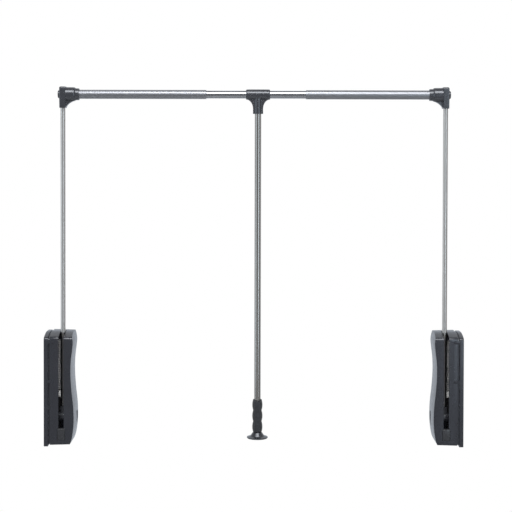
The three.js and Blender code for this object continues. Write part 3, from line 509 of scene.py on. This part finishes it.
def buildShells():
    body = buildCase()
    cutOut(body, *slotCutters())
    outer, inner = body, copied(body, "innerShell")
    depths, heights = aroundCase["depths"], aroundCase["heights"]
    outerHalf = block("half", (0, armPlane - case["parting"]), depths, heights)
    innerHalf = block("half", (armPlane + case["parting"], aroundCase["side"]), depths, heights)
    combine(outer, outerHalf, "INTERSECT")
    combine(inner, innerHalf, "INTERSECT")
    cutPockets(outer)
    floor = case["width"] - badge["recess"]
    cutOut(inner, prism("badgeTool", "x", badgeOutline(0), (floor, case["width"] + beyond)))
    for shell, tail in ((outer, "outer_shell"), (inner, "inner_shell")):
        smooth(shell, case["shade"])
        placePair(shell, tail, "housing", "casePlastic")
    under = floor + case["gap"]
    blank = prism("badge", "x", badgeOutline(case["gap"]), (under, under + badge["thickness"]))
    easeAll(blank, badge["ease"], 2)
    smooth(blank)
    placePair(blank, "badge_blank", "housing", "badgePlastic")


buildShells()
print("housing shells done")

# Mounting plate and stop block

plate = {"sheet": 3, "rim": 2.6, "corner": 3, "innerCorner": 2, "ease": 0.8,
         "hole": 2.6, "sink": 5, "spacing": 22, "heights": (22 - pivotHeight, 171)}


def buildPlate():
    foot, crown = -pivotHeight, caseCrownZ - case["plateDrop"]
    sheet = plate["sheet"]
    tray = prism("plate", "x", sideOutline(foot, crown, 0, plate["corner"]), (0, case["plate"]))
    easeAll(tray, plate["ease"], 3, 50)
    inside = sideOutline(foot, crown, plate["rim"], plate["innerCorner"])
    cutOut(tray, prism("hollow", "x", inside, (sheet, case["plate"] + beyond)))
    countersink = [(0, -beyond), (plate["hole"], -beyond), (plate["hole"], 0), (plate["sink"], sheet),
                   (plate["sink"], sheet + beyond), (0, sheet + beyond)]
    for y in (-plate["spacing"], plate["spacing"]):
        for z in plate["heights"]:
            cutOut(tray, turned("holeTool", "x", countersink, (0, y, z), 32))
    for height in tongue["heights"]:
        for depth in ((-case["front"], tongue["thickness"] - case["front"]),
                      (case["rear"] - tongue["thickness"], case["rear"])):
            strip = block("tongue", (case["plate"] - tongue["root"], tongue["reach"]), depth,
                          (height - tongue["height"] / 2, height + tongue["height"] / 2))
            addTo(tray, easeAll(strip, tongue["ease"], 2))
    smooth(tray, case["shade"])
    placePair(tray, "mounting_plate", "housing", "casePlastic")


def buildStop():
    half, side, front = slot["stopWidth"] / 2, slot["stopSide"], -case["front"]
    stopper = block("stopBlock", (armPlane - half + side, armPlane + half - side),
                    (front, slot["stopDepth"] - case["front"]), (slot["stopFoot"], slot["foot"]))
    easeEdges(stopper, lambda edge, ends: all(at.y < front + 1 and at.z > slot["foot"] - 1 for at in ends),
              slot["stopBrow"], 5)
    easeAll(stopper, slot["stopEase"])
    smooth(stopper)
    placePair(stopper, "stop_block", "housing", "stopRubber")


buildPlate()
buildStop()
print("plates and stops done")

# Tubes of arms, rail and pull rod

tubes = {
    "arm": {"radius": 6, "wall": 1, "from": 26.3, "to": railRise - 6},
    "outerRail": {"radius": 11, "wall": 0.8},
    "innerRail": {"radius": 9.5, "wall": 0.8},
    "pullRod": {"radius": 8, "wall": 0.9},
}
tubeEdge = 0.35  # rounding of a tube's ends, as a share of its wall


def tubeBetween(name, axis, size, span, place, sides=72):
    radius, inside, edge = size["radius"], size["radius"] - size["wall"], size["wall"] * tubeEdge
    low, high = span
    profile = [(inside, low + edge), (inside + edge, low), (radius - edge, low), (radius, low + edge),
               (radius, high - edge), (radius - edge, high), (inside + edge, high), (inside, high - edge),
               (inside, low + edge)]
    return smooth(turned(name, axis, profile, place, sides))


armSpan = (tubes["arm"]["from"], tubes["arm"]["to"])
placePair(tubeBetween("arm", "z", tubes["arm"], armSpan, (armPlane, 0, 0), 48), "arm_tube", "arm", "armSteel")

for side in ("left", "right"):
    low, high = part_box(f"{side}_outer_rail_tube")
    rail = tubeBetween(f"{side}_outer_rail_tube_shape", "x", tubes["outerRail"], (low.x / mm, high.x / mm),
                       (0, 0, railRise))
    place(rail, f"{side}_arm", "railSteel", f"{side}_outer_rail_tube")

low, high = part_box("centre_rail_tube")
teePlace = (low.x + high.x) / 2 / mm
centreTube = tubeBetween("centre_rail_tube_shape", "x", tubes["innerRail"], (low.x / mm, high.x / mm),
                         (0, 0, railRise))
place(centreTube, "pull_rod", "innerRailSteel", "centre_rail_tube")
low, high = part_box("pull_rod")
pullTube = tubeBetween("pull_rod_shape", "z", tubes["pullRod"], (low.z / mm, high.z / mm), (teePlace, 0, 0))
place(pullTube, "pull_rod", "rodSteel", "pull_rod")
print("tubes done")

# Small cross head screws of elbows and tee

crossHead = {
    "shank": 1.3, "head": 2.8, "rim": 1.0, "top": 1.4, "flat": 0.6, "ease": 0.3,
    "cross": (1.7, 0.35), "crossFoot": 0.5, "hole": 1.6, "pocket": 3.1, "pocketDepth": 0.3, "pocketEnd": 6,
}


def fixing(name, place, surface, depth):  # along y, its head in the rear face
    shank, head, ease = crossHead["shank"], crossHead["head"], crossHead["ease"]
    foot, rim, top = surface - depth, surface + crossHead["rim"], surface + crossHead["top"]
    screw = turned(name, "y", eased([(0, foot), (shank, foot), (shank, surface), (head, surface),
                                     (head, rim, ease), (crossHead["flat"], top, ease), (0, top)]), place, 24)
    x, _, z = place
    for halfX, halfZ in (crossHead["cross"], crossHead["cross"][::-1]):
        cutOut(screw, block("cross", (x - halfX, x + halfX), (surface + crossHead["crossFoot"], surface + 2),
                            (z - halfZ, z + halfZ)))
    return smooth(screw, 30)


def fixingHole(place, surface):
    hole, pocket = crossHead["hole"], crossHead["pocket"]
    floor, end = surface - crossHead["pocketDepth"], surface + crossHead["pocketEnd"]
    return turned("hole", "y", [(0, 0), (hole, 0), (hole, floor), (pocket, floor), (pocket, end), (0, end)],
                  place, 32)


# Elbows, drawn about the crossing of arm and rail

elbow = {
    "reach": 39.5, "back": 7.2, "slabEnd": 7.4, "crown": 18.4, "halfDepth": 17.6, "lean": 1.2, "waist": 2,
    "corner": 5, "waistCorner": 6, "backEase": 3.2, "neckHalf": 14.2, "drop": 33,
    "rootRadius": 17.3, "stepRadius": 17, "stepReach": 26, "stepPull": 3,
    "collarRadius": 14.5, "collarReach": 31, "lipRadius": 14.2,
    "webHalf": 6.8, "webStart": 12.5, "webPull": (13, -18.5), "voxel": 0.42, "rounds": 6,
    "railSeats": (("left", 16.5), ("right", 7.8)), "railBore": 11.3, "railMouth": 12.2,
    "armEnd": 5.7, "armBore": 6.3, "armMouth": 7.0, "capBore": 3.8, "capBoreSpan": (-9, -1.9),
    "armScrew": {"place": (0, 0, -24), "hole": 12, "face": 12.3, "depth": 8.1},
    "railScrew": {"place": (35, 0, 0), "hole": 14.3, "face": 14.05, "depth": 4.5},
}


def slabOutline():
    half, neck, crown, corner = elbow["halfDepth"], elbow["neckHalf"], elbow["crown"], elbow["corner"]
    shoulder = half - elbow["lean"]  # the front and rear lean in a little towards the crown
    waist = (elbow["waist"], elbow["waistCorner"])
    return eased([(shoulder, crown, corner), (-shoulder, crown, corner), (-half, *waist),
                  (-neck, -elbow["drop"]), (neck, -elbow["drop"]), (half, *waist)], True)


def elbowSolid():
    back, drop, reach = elbow["back"], elbow["drop"], elbow["reach"]
    slab = prism("elbow", "x", slabOutline(), (-back, elbow["slabEnd"]))
    easeEdges(slab, lambda edge, ends: all(at.x < 0.1 - back for at in ends)
              and max(at.z for at in ends) > 1 - drop, elbow["backEase"], 4)
    step = (elbow["stepRadius"], elbow["stepReach"])
    stepCurve = pulled(step, (step[0], step[1] + elbow["stepPull"]),
                       (elbow["collarRadius"], elbow["collarReach"]), 6)
    collar = turned("collar", "x", [(0, 0), (elbow["rootRadius"], 0), step, *stepCurve,
                                    (elbow["lipRadius"], reach), (0, reach)])
    webFoot = (elbow["slabEnd"], -drop)
    webCurve = pulled(webFoot, elbow["webPull"], (reach - 1, -elbow["webStart"]), 14)
    web = prism("web", "y", [(0, 0), (0, -drop), webFoot, *webCurve, (reach - 1, 0)],
                (-elbow["webHalf"], elbow["webHalf"]))
    addTo(slab, collar, web)
    return melt(slab, elbow["voxel"], elbow["rounds"])


def elbowBores(seat):  # seat is where the rail's tube ends
    reach, drop = elbow["reach"], elbow["drop"]
    inner, rail, railMouth = seat - case["gap"], elbow["railBore"], elbow["railMouth"]
    arm, armMouth, armEnd = elbow["armBore"], elbow["armMouth"], -elbow["armEnd"]
    stem, (stemStart, stemEnd) = elbow["capBore"], elbow["capBoreSpan"]
    return (
        turned("bore", "x", [(0, inner), (rail, inner), (rail, reach - 0.9), (railMouth, reach + beyond),
                             (0, reach + beyond)]),
        turned("bore", "z", [(0, -drop - beyond), (armMouth, -drop - beyond), (arm, -drop + 0.7),
                             (arm, armEnd), (0, armEnd)]),
        turned("bore", "x", [(0, stemStart), (stem, stemStart), (stem, stemEnd), (0, stemEnd)], sides=32),
        *(fixingHole(screw["place"], screw["hole"]) for screw in (elbow["armScrew"], elbow["railScrew"])),
    )


cap = {"radius": 9.8, "top": 4.2, "ring": (7.9, 8.4), "dish": 7.6, "dishFloor": 3.9, "skirt": 2.9,
       "stem": 3.5, "stemEnd": -2.2, "shade": 35}


def elbowCap():
    face = -elbow["back"] - case["gap"]
    floor, top, skirt, radius, stem = (face - cap["dishFloor"], face - cap["top"], face - cap["skirt"],
                                       cap["radius"], cap["stem"])
    profile = [(0, floor), (cap["dish"], floor, 0.4), (cap["ring"][0], top, 0.3), (cap["ring"][1], top, 0.5),
               (radius, skirt, 0.8), (radius, face, 0.3), (stem, face), (stem, cap["stemEnd"]),
               (0, cap["stemEnd"])]
    return turned("cap", "x", eased(profile))


def buildElbows():
    cast = elbowSolid()
    corner = (armPlane, 0, railRise)
    for side, seat in elbow["railSeats"]:
        piece = copied(cast, f"{side}Elbow")
        cutOut(piece, *elbowBores(seat))
        smooth(shifted(piece, corner))
        if side == "right":
            other = mirroredCopy(piece, "rightElbow")
            bpy.data.objects.remove(piece, do_unlink=True)
            piece = other
        piece.name = piece.data.name = f"{side}_elbow_shape"
        place(piece, f"{side}_arm", "jointPlastic", f"{side}_elbow")
    bpy.data.objects.remove(cast, do_unlink=True)
    placePair(smooth(shifted(elbowCap(), corner), cap["shade"]), "elbow_cap", "arm", "jointPlastic")
    for tube in ("arm", "rail"):
        setup = elbow[f"{tube}Screw"]
        screw = fixing(f"{tube}Screw", setup["place"], setup["face"], setup["depth"])
        placePair(shifted(screw, corner), f"elbow_{tube}_screw", "arm", "plainSteel")


buildElbows()
print("elbows done")

# Tee in the middle of the rail

tee = {
    "half": 29, "radius": 12.7, "step": 0.5, "lip": 2.6, "lipSlope": 0.4, "endEase": 1.2, "drop": 46.5,
    "socket": 9.6, "flank": 12.2, "webReach": 25, "webDrop": 34, "webPull": (13, -17.8), "webHalf": 5.5,
    "webRise": 0.6, "voxel": 0.36, "rounds": 9, "railBore": 9.8, "railMouth": 10.8, "rodBore": 8.3,
    "rodMouth": 8.9, "rodEnd": 13.7, "screw": (21, 0, 0), "screwFace": 12.4, "screwDepth": 3.7,
}


def teeSolid():
    half, radius, lip, ease = tee["half"], tee["radius"], tee["lip"], tee["endEase"]
    low, slope, drop = radius - tee["step"], tee["lipSlope"], tee["drop"]
    sleeve = turned("tee", "x", eased([(0, -half), (low, -half, ease), (low, -half + lip, 0.3),
                                       (radius, -half + lip + slope), (radius, half - lip - slope),
                                       (low, half - lip, 0.3), (low, half, ease), (0, half)]))
    socket = turned("socket", "z", [(0, -drop), (tee["socket"], -drop), (tee["socket"], 0), (0, 0)])
    webFoot = (tee["flank"], -tee["webDrop"])
    curve = pulled(webFoot, tee["webPull"], (tee["webReach"], tee["webRise"] - radius), 12)
    right = [(tee["flank"], -drop), webFoot, *curve, (tee["webReach"], 0)]
    web = prism("web", "y", right + [(-x, z) for x, z in reversed(right)], (-tee["webHalf"], tee["webHalf"]))
    addTo(sleeve, socket, web)
    return melt(sleeve, tee["voxel"], tee["rounds"])


def buildTee():
    sleeve = teeSolid()
    reach, drop, rodEnd = tee["half"] + 1, tee["drop"], -tee["rodEnd"]
    rail, railMouth, rod, rodMouth = tee["railBore"], tee["railMouth"], tee["rodBore"], tee["rodMouth"]
    cutOut(sleeve,
           turned("bore", "x", [(0, -reach), (railMouth, -reach), (rail, -reach + 2), (rail, reach - 2),
                                (railMouth, reach), (0, reach)]),
           turned("bore", "z", [(0, -drop - 1), (rodMouth, -drop - 1), (rod, -drop + 0.6), (rod, rodEnd),
                                (0, rodEnd)]),
           fixingHole(tee["screw"], tee["screwFace"]))
    smooth(shifted(sleeve, (teePlace, 0, railRise)))
    sleeve.name = sleeve.data.name = "tee_connector_shape"
    place(sleeve, "pull_rod", "jointPlastic", "tee_connector")
    screw = fixing("tee_screw_shape", tee["screw"], tee["screwFace"], tee["screwDepth"])
    place(shifted(screw, (teePlace, 0, railRise)), "pull_rod", "plainSteel", "tee_screw")


buildTee()
print("tee done")

# Grip and foot of the pull rod, heights from the foot of the mounting plate

grip = {
    "foot": 28.2, "top": 108, "lobe": 12.4, "waist": 10.2, "end": 10.3, "lobes": 3, "fullness": 0.85,
    "steps": 48, "panelHalf": 7.4, "panelDepth": 12.1, "panelFoot": 1.5, "panelTop": 1, "panelEase": 1.4,
    "bore": 8.3, "mouth": 9, "notch": 7, "notchDrop": 3.2, "notchReach": 14,
    "dimples": (0.29, 0.62, 0.95), "dimple": ((2.2, -1), (2, 0.3), (1, 0.8), (0, 0.9)),
}


def gripSwell(low, high):
    swell = []
    for step in range(grip["steps"] + 1):
        wave = abs(math.sin(math.pi * grip["lobes"] * step / grip["steps"])) ** grip["fullness"]
        atEnd = step in (0, grip["steps"])
        swell.append((grip["end"] if atEnd else grip["waist"] + (grip["lobe"] - grip["waist"]) * wave,
                      low + (high - low) * step / grip["steps"]))
    return swell


def buildGrip():
    low, high = grip["foot"] - pivotHeight, grip["top"] - pivotHeight
    piece = turned("grip", "z", [(0, low), *gripSwell(low, high), (0, high)], sides=72)
    wide, deep, far = grip["panelHalf"], grip["panelDepth"], grip["notchReach"]
    panel = block("panel", (-wide, wide), (-deep, deep), (low + grip["panelFoot"], high - grip["panelTop"]))
    addTo(piece, easeAll(panel, grip["panelEase"], 4))
    bore, mouth, notch = grip["bore"], grip["mouth"], grip["notch"]
    cutOut(piece, turned("bore", "z", [(0, low - 1), (bore, low - 1), (bore, high - 0.6), (mouth, high + 1),
                                       (0, high + 1)]),
           turned("notch", "y", [(0, -far), (notch, -far), (notch, far), (0, far)],
                  (0, 0, high + notch - grip["notchDrop"]), 40))
    hollow = [(0, -deep - 1), *((radius, inwards - deep) for radius, inwards in grip["dimple"])]
    for share in grip["dimples"]:
        cutOut(piece, turned("dimple", "y", hollow, (0, 0, low + (high - low) * share), 32))
    smooth(shifted(piece, (teePlace, 0, 0)))
    piece.name = piece.data.name = "pull_grip_shape"
    place(piece, "pull_rod", "blackRubber", "pull_grip")


foot = {
    "rim": 25.4, "rimTop": 17, "bottom": 14, "neck": 10.8, "coneEnd": (17.4, 18.8), "coneEase": 1.6,
    "dome": 1.2, "underside": ((12.7, 0.84), (21.8, 0)), "socket": 8.3, "socketFoot": 21.7, "ease": 0.6,
}


def buildFoot():
    at = lambda height: height - pivotHeight
    top, socketFoot, bottom = at(grip["foot"] - case["gap"]), at(foot["socketFoot"]), foot["bottom"]
    (middle, rise), (outer, _) = foot["underside"]
    coneEnd, coneFoot = foot["coneEnd"]
    rim, rimTop, ease = foot["rim"], at(foot["rimTop"]), foot["ease"]
    profile = [(0, at(bottom + foot["dome"])), (middle, at(bottom + rise)), (outer, at(bottom), 1),
               (rim - 0.6, at(bottom), 0.5), (rim, at(bottom + 1), ease), (rim, rimTop - 0.4, ease),
               (rim - 1.2, rimTop, ease), (coneEnd, at(coneFoot), foot["coneEase"]),
               (foot["neck"] + 0.5, top - 0.4, 0.4), (foot["neck"], top),
               (foot["socket"], top), (foot["socket"], socketFoot), (0, socketFoot)]
    piece = turned("foot", "z", eased(profile), sides=96)
    smooth(shifted(piece, (teePlace, 0, 0)))
    piece.name = piece.data.name = "grip_foot_shape"
    place(piece, "pull_rod", "footPlastic", "grip_foot")


buildGrip()
buildFoot()
print("grip and foot done")

# Lift springs

spring = {"x": 25.2, "y": 20, "radius": 8, "wire": 2.2, "wireSides": 10, "turns": 28, "turnSteps": 24,
          "low": 62.0, "high": 184.6, "keep": 0.653}


def buildSprings():
    clearSelection()
    coil = spring["radius"] - spring["wire"] / 2
    bpy.ops.mesh.primitive_circle_add(
        vertices=spring["wireSides"], radius=spring["wire"] / 2 * mm, fill_type="NGON",
        location=(coil * mm, 0, 0), rotation=(math.pi / 2, 0, 0))
    ring = settle("spring")
    pitch, steps = (spring["high"] - spring["low"]) / spring["turns"], spring["turnSteps"]
    useModifier(ring, "SCREW", angle=2 * math.pi, screw_offset=pitch * mm, iterations=spring["turns"],
                steps=steps, render_steps=steps, axis="Z", use_merge_vertices=False)
    makeActive(ring)
    bpy.ops.object.mode_set(mode="EDIT")
    bpy.ops.mesh.select_all(action="SELECT")
    bpy.ops.mesh.remove_doubles(threshold=0.002 * mm)
    bpy.ops.mesh.normals_make_consistent(inside=False)
    settle("spring")
    shifted(ring, (spring["x"], spring["y"], spring["low"]))
    smooth(ring, 60)
    placePair(ring, "lift_spring", "housing", "springSteel")
    for side, joint in (("left", "left_carriage_slide"), ("right", "right_carriage_slide")):
        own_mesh(bpy.data.objects[f"{side}_lift_spring_shape"])


buildSprings()
print("springs done")

# Pieces inside the housings and the rail keep their solids and get a finish of their own

inside = {
    "case_screw_1": "plainSteel", "case_screw_2": "plainSteel", "case_screw_3": "plainSteel",
    "pivot_pin": "plainSteel", "outer_pivot_bush": "whiteNylon", "inner_pivot_bush": "whiteNylon",
    "arm_hub": "jointPlastic", "arm_rivet": "plainSteel", "rack_carriage": "carriageNylonPaintedShade",
    "spring_guide_rod": "plainSteel", "spring_anchor": "jointPlastic", "rest_stop": "blackRubber",
    "damper_cylinder": "springSteel", "damper_rod": "plainSteel", "tube_glide": "whiteNylon",
}
for side in ("left", "right"):
    for tail, finishName in inside.items():
        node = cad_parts[f"{side}_{tail}"]
        node.data.materials.clear()
        node.data.materials.append(finishes[finishName])
print("inner pieces finished:", 2 * len(inside))

# Lamps, floor and world, in metres

studio = {
    "lookAt": (0.504, 0, 0.36),
    "key": {"at": (0.5, -1.96, 2.9), "size": (2.6, 1.6), "power": 88},
    "strip": {"at": (2.0, -2.6, 0.75), "size": (0.9, 2.2), "power": 15, "color": (0.76, 0.9, 1)},
    "panel": {"at": (-2.2, -1.27, 0.6), "size": (1.8, 2.2), "power": 15, "color": (0.76, 0.9, 1)},
    "fill": {"at": (0.5, -3.4, 0.8), "size": (1, 0.8), "power": 50, "soft": True},  # not seen in gloss
}


def addLamp(name, setup):
    lamp = bpy.data.lights.new(name, "AREA")
    lamp.shape = "RECTANGLE"
    lamp.size, lamp.size_y = setup["size"]
    lamp.energy = setup["power"]
    lamp.color = setup.get("color", (1, 1, 1))
    holder = bpy.data.objects.new(name, lamp)
    bpy.context.collection.objects.link(holder)
    holder.location = setup["at"]
    aim = Vector(studio["lookAt"]) - Vector(setup["at"])
    holder.rotation_euler = aim.to_track_quat("-Z", "Y").to_euler()
    holder.visible_camera = False
    holder.visible_glossy = not setup.get("soft", False)


for name in ("key", "strip", "panel", "fill"):
    addLamp(name, studio[name])
print("lamps placed")

stageFloor = {"centre": (0.504, -0.3, -1.7), "radius": 2.4, "shade": 0.62, "rough": 0.9, "fade": (0.3, 0.95)}


def floorMaterial():  # fades to plain white towards its edge, for the camera alone
    material = bpy.data.materials.new("paleFloor")
    material.use_nodes = True
    nodes, links = material.node_tree.nodes, material.node_tree.links
    shader, shade = nodes["Principled BSDF"], stageFloor["shade"]
    shader.inputs["Base Color"].default_value = (shade, shade, shade, 1)
    shader.inputs["Roughness"].default_value = stageFloor["rough"]
    white, mix = nodes.new("ShaderNodeEmission"), nodes.new("ShaderNodeMixShader")
    coordinates = nodes.new("ShaderNodeTexCoord")
    reach = nodes.new("ShaderNodeVectorMath")
    reach.operation = "DISTANCE"
    reach.inputs[1].default_value = stageFloor["centre"]
    fade = nodes.new("ShaderNodeMapRange")
    fade.inputs["From Min"].default_value = stageFloor["radius"] * stageFloor["fade"][0]
    fade.inputs["From Max"].default_value = stageFloor["radius"] * stageFloor["fade"][1]
    path = nodes.new("ShaderNodeLightPath")
    seen = nodes.new("ShaderNodeMath")
    seen.operation = "MULTIPLY"
    links.new(coordinates.outputs["Object"], reach.inputs[0])
    links.new(reach.outputs["Value"], fade.inputs["Value"])
    links.new(fade.outputs["Result"], seen.inputs[0])
    links.new(path.outputs["Is Camera Ray"], seen.inputs[1])
    links.new(seen.outputs["Value"], mix.inputs["Fac"])
    links.new(shader.outputs["BSDF"], mix.inputs[1])
    links.new(white.outputs["Emission"], mix.inputs[2])
    links.new(mix.outputs["Shader"], nodes["Material Output"].inputs["Surface"])
    return material


def addFloor():
    clearSelection()
    bpy.ops.mesh.primitive_circle_add(vertices=96, radius=stageFloor["radius"], fill_type="NGON",
                                      location=stageFloor["centre"])
    floor = settle("studioFloor")
    floor.data.materials.append(floorMaterial())


addFloor()

# The camera sees plain white, matt surfaces a soft level, and gloss a room that is brightest behind
room = {
    "soft": 0.35, "turn": (0.0, 0.6), "frontAndBack": (0.35, 1.0),
    "above": (0.04, 0.18), "aboveLevels": (1.0, 0.8),  # what upward faces reflect is dimmer
    "cool": (0.7, 0.95), "coolTint": (0.93, 1, 1.1),  # straight behind, the reflected room is a little blue
}


def addWorld():
    world = bpy.data.worlds.new("studio")
    bpy.context.scene.world = world
    world.use_nodes = True
    nodes, links = world.node_tree.nodes, world.node_tree.links
    nodes.clear()
    output = nodes.new("ShaderNodeOutputWorld")
    coordinates = nodes.new("ShaderNodeTexCoord")
    split = nodes.new("ShaderNodeSeparateXYZ")
    links.new(coordinates.outputs["Generated"], split.inputs["Vector"])

    def change(axis, start, levels, smoothly):
        node = nodes.new("ShaderNodeMapRange")
        if smoothly:
            node.interpolation_type = "SMOOTHSTEP"
        node.inputs["From Min"].default_value, node.inputs["From Max"].default_value = start
        node.inputs["To Min"].default_value, node.inputs["To Max"].default_value = levels
        links.new(split.outputs[axis], node.inputs["Value"])
        return node.outputs["Result"]

    surround, backdrop, soft = (nodes.new("ShaderNodeBackground") for _ in range(3))
    for node in (backdrop, soft):
        node.inputs["Color"].default_value = (1, 1, 1, 1)
    soft.inputs["Strength"].default_value = room["soft"]
    level = nodes.new("ShaderNodeMath")
    level.operation = "MULTIPLY"
    links.new(change("Y", room["turn"], room["frontAndBack"], True), level.inputs[0])
    links.new(change("Z", room["above"], room["aboveLevels"], True), level.inputs[1])
    links.new(level.outputs["Value"], surround.inputs["Strength"])
    shade = nodes.new("ShaderNodeMix")
    shade.data_type = "RGBA"
    shade.inputs["A"].default_value = (1, 1, 1, 1)
    shade.inputs["B"].default_value = (*room["coolTint"], 1)
    links.new(change("Y", room["cool"], (0, 1), False), shade.inputs["Factor"])
    links.new(shade.outputs["Result"], surround.inputs["Color"])

    path = nodes.new("ShaderNodeLightPath")
    shiny = nodes.new("ShaderNodeMath")
    shiny.operation = "MAXIMUM"
    links.new(path.outputs["Is Glossy Ray"], shiny.inputs[0])
    links.new(path.outputs["Is Transmission Ray"], shiny.inputs[1])
    first, second = nodes.new("ShaderNodeMixShader"), nodes.new("ShaderNodeMixShader")
    links.new(shiny.outputs["Value"], first.inputs["Fac"])
    links.new(soft.outputs["Background"], first.inputs[1])
    links.new(surround.outputs["Background"], first.inputs[2])
    links.new(path.outputs["Is Camera Ray"], second.inputs["Fac"])
    links.new(first.outputs["Shader"], second.inputs[1])
    links.new(backdrop.outputs["Background"], second.inputs[2])
    links.new(second.outputs["Shader"], output.inputs["Surface"])


addWorld()
print("floor and world done")

# Camera, in metres and degrees

camera = {"at": (0.50827, -3.027, 0.655), "pitch": 1.229, "roll": -0.127, "lens": 87.98, "sensor": 36,
          "shift": -0.16, "nearest": 0.05, "farthest": 50}


def addCamera():
    data = bpy.data.cameras.new("photoCamera")
    data.lens, data.sensor_width, data.shift_y = camera["lens"], camera["sensor"], camera["shift"]
    data.clip_start, data.clip_end = camera["nearest"], camera["farthest"]
    holder = bpy.data.objects.new("photoCamera", data)
    bpy.context.collection.objects.link(holder)
    holder.location = camera["at"]
    holder.rotation_euler = (math.radians(90 - camera["pitch"]), math.radians(camera["roll"]), 0)
    bpy.context.scene.camera = holder


addCamera()
bpy.context.scene.view_settings.view_transform = "Standard"
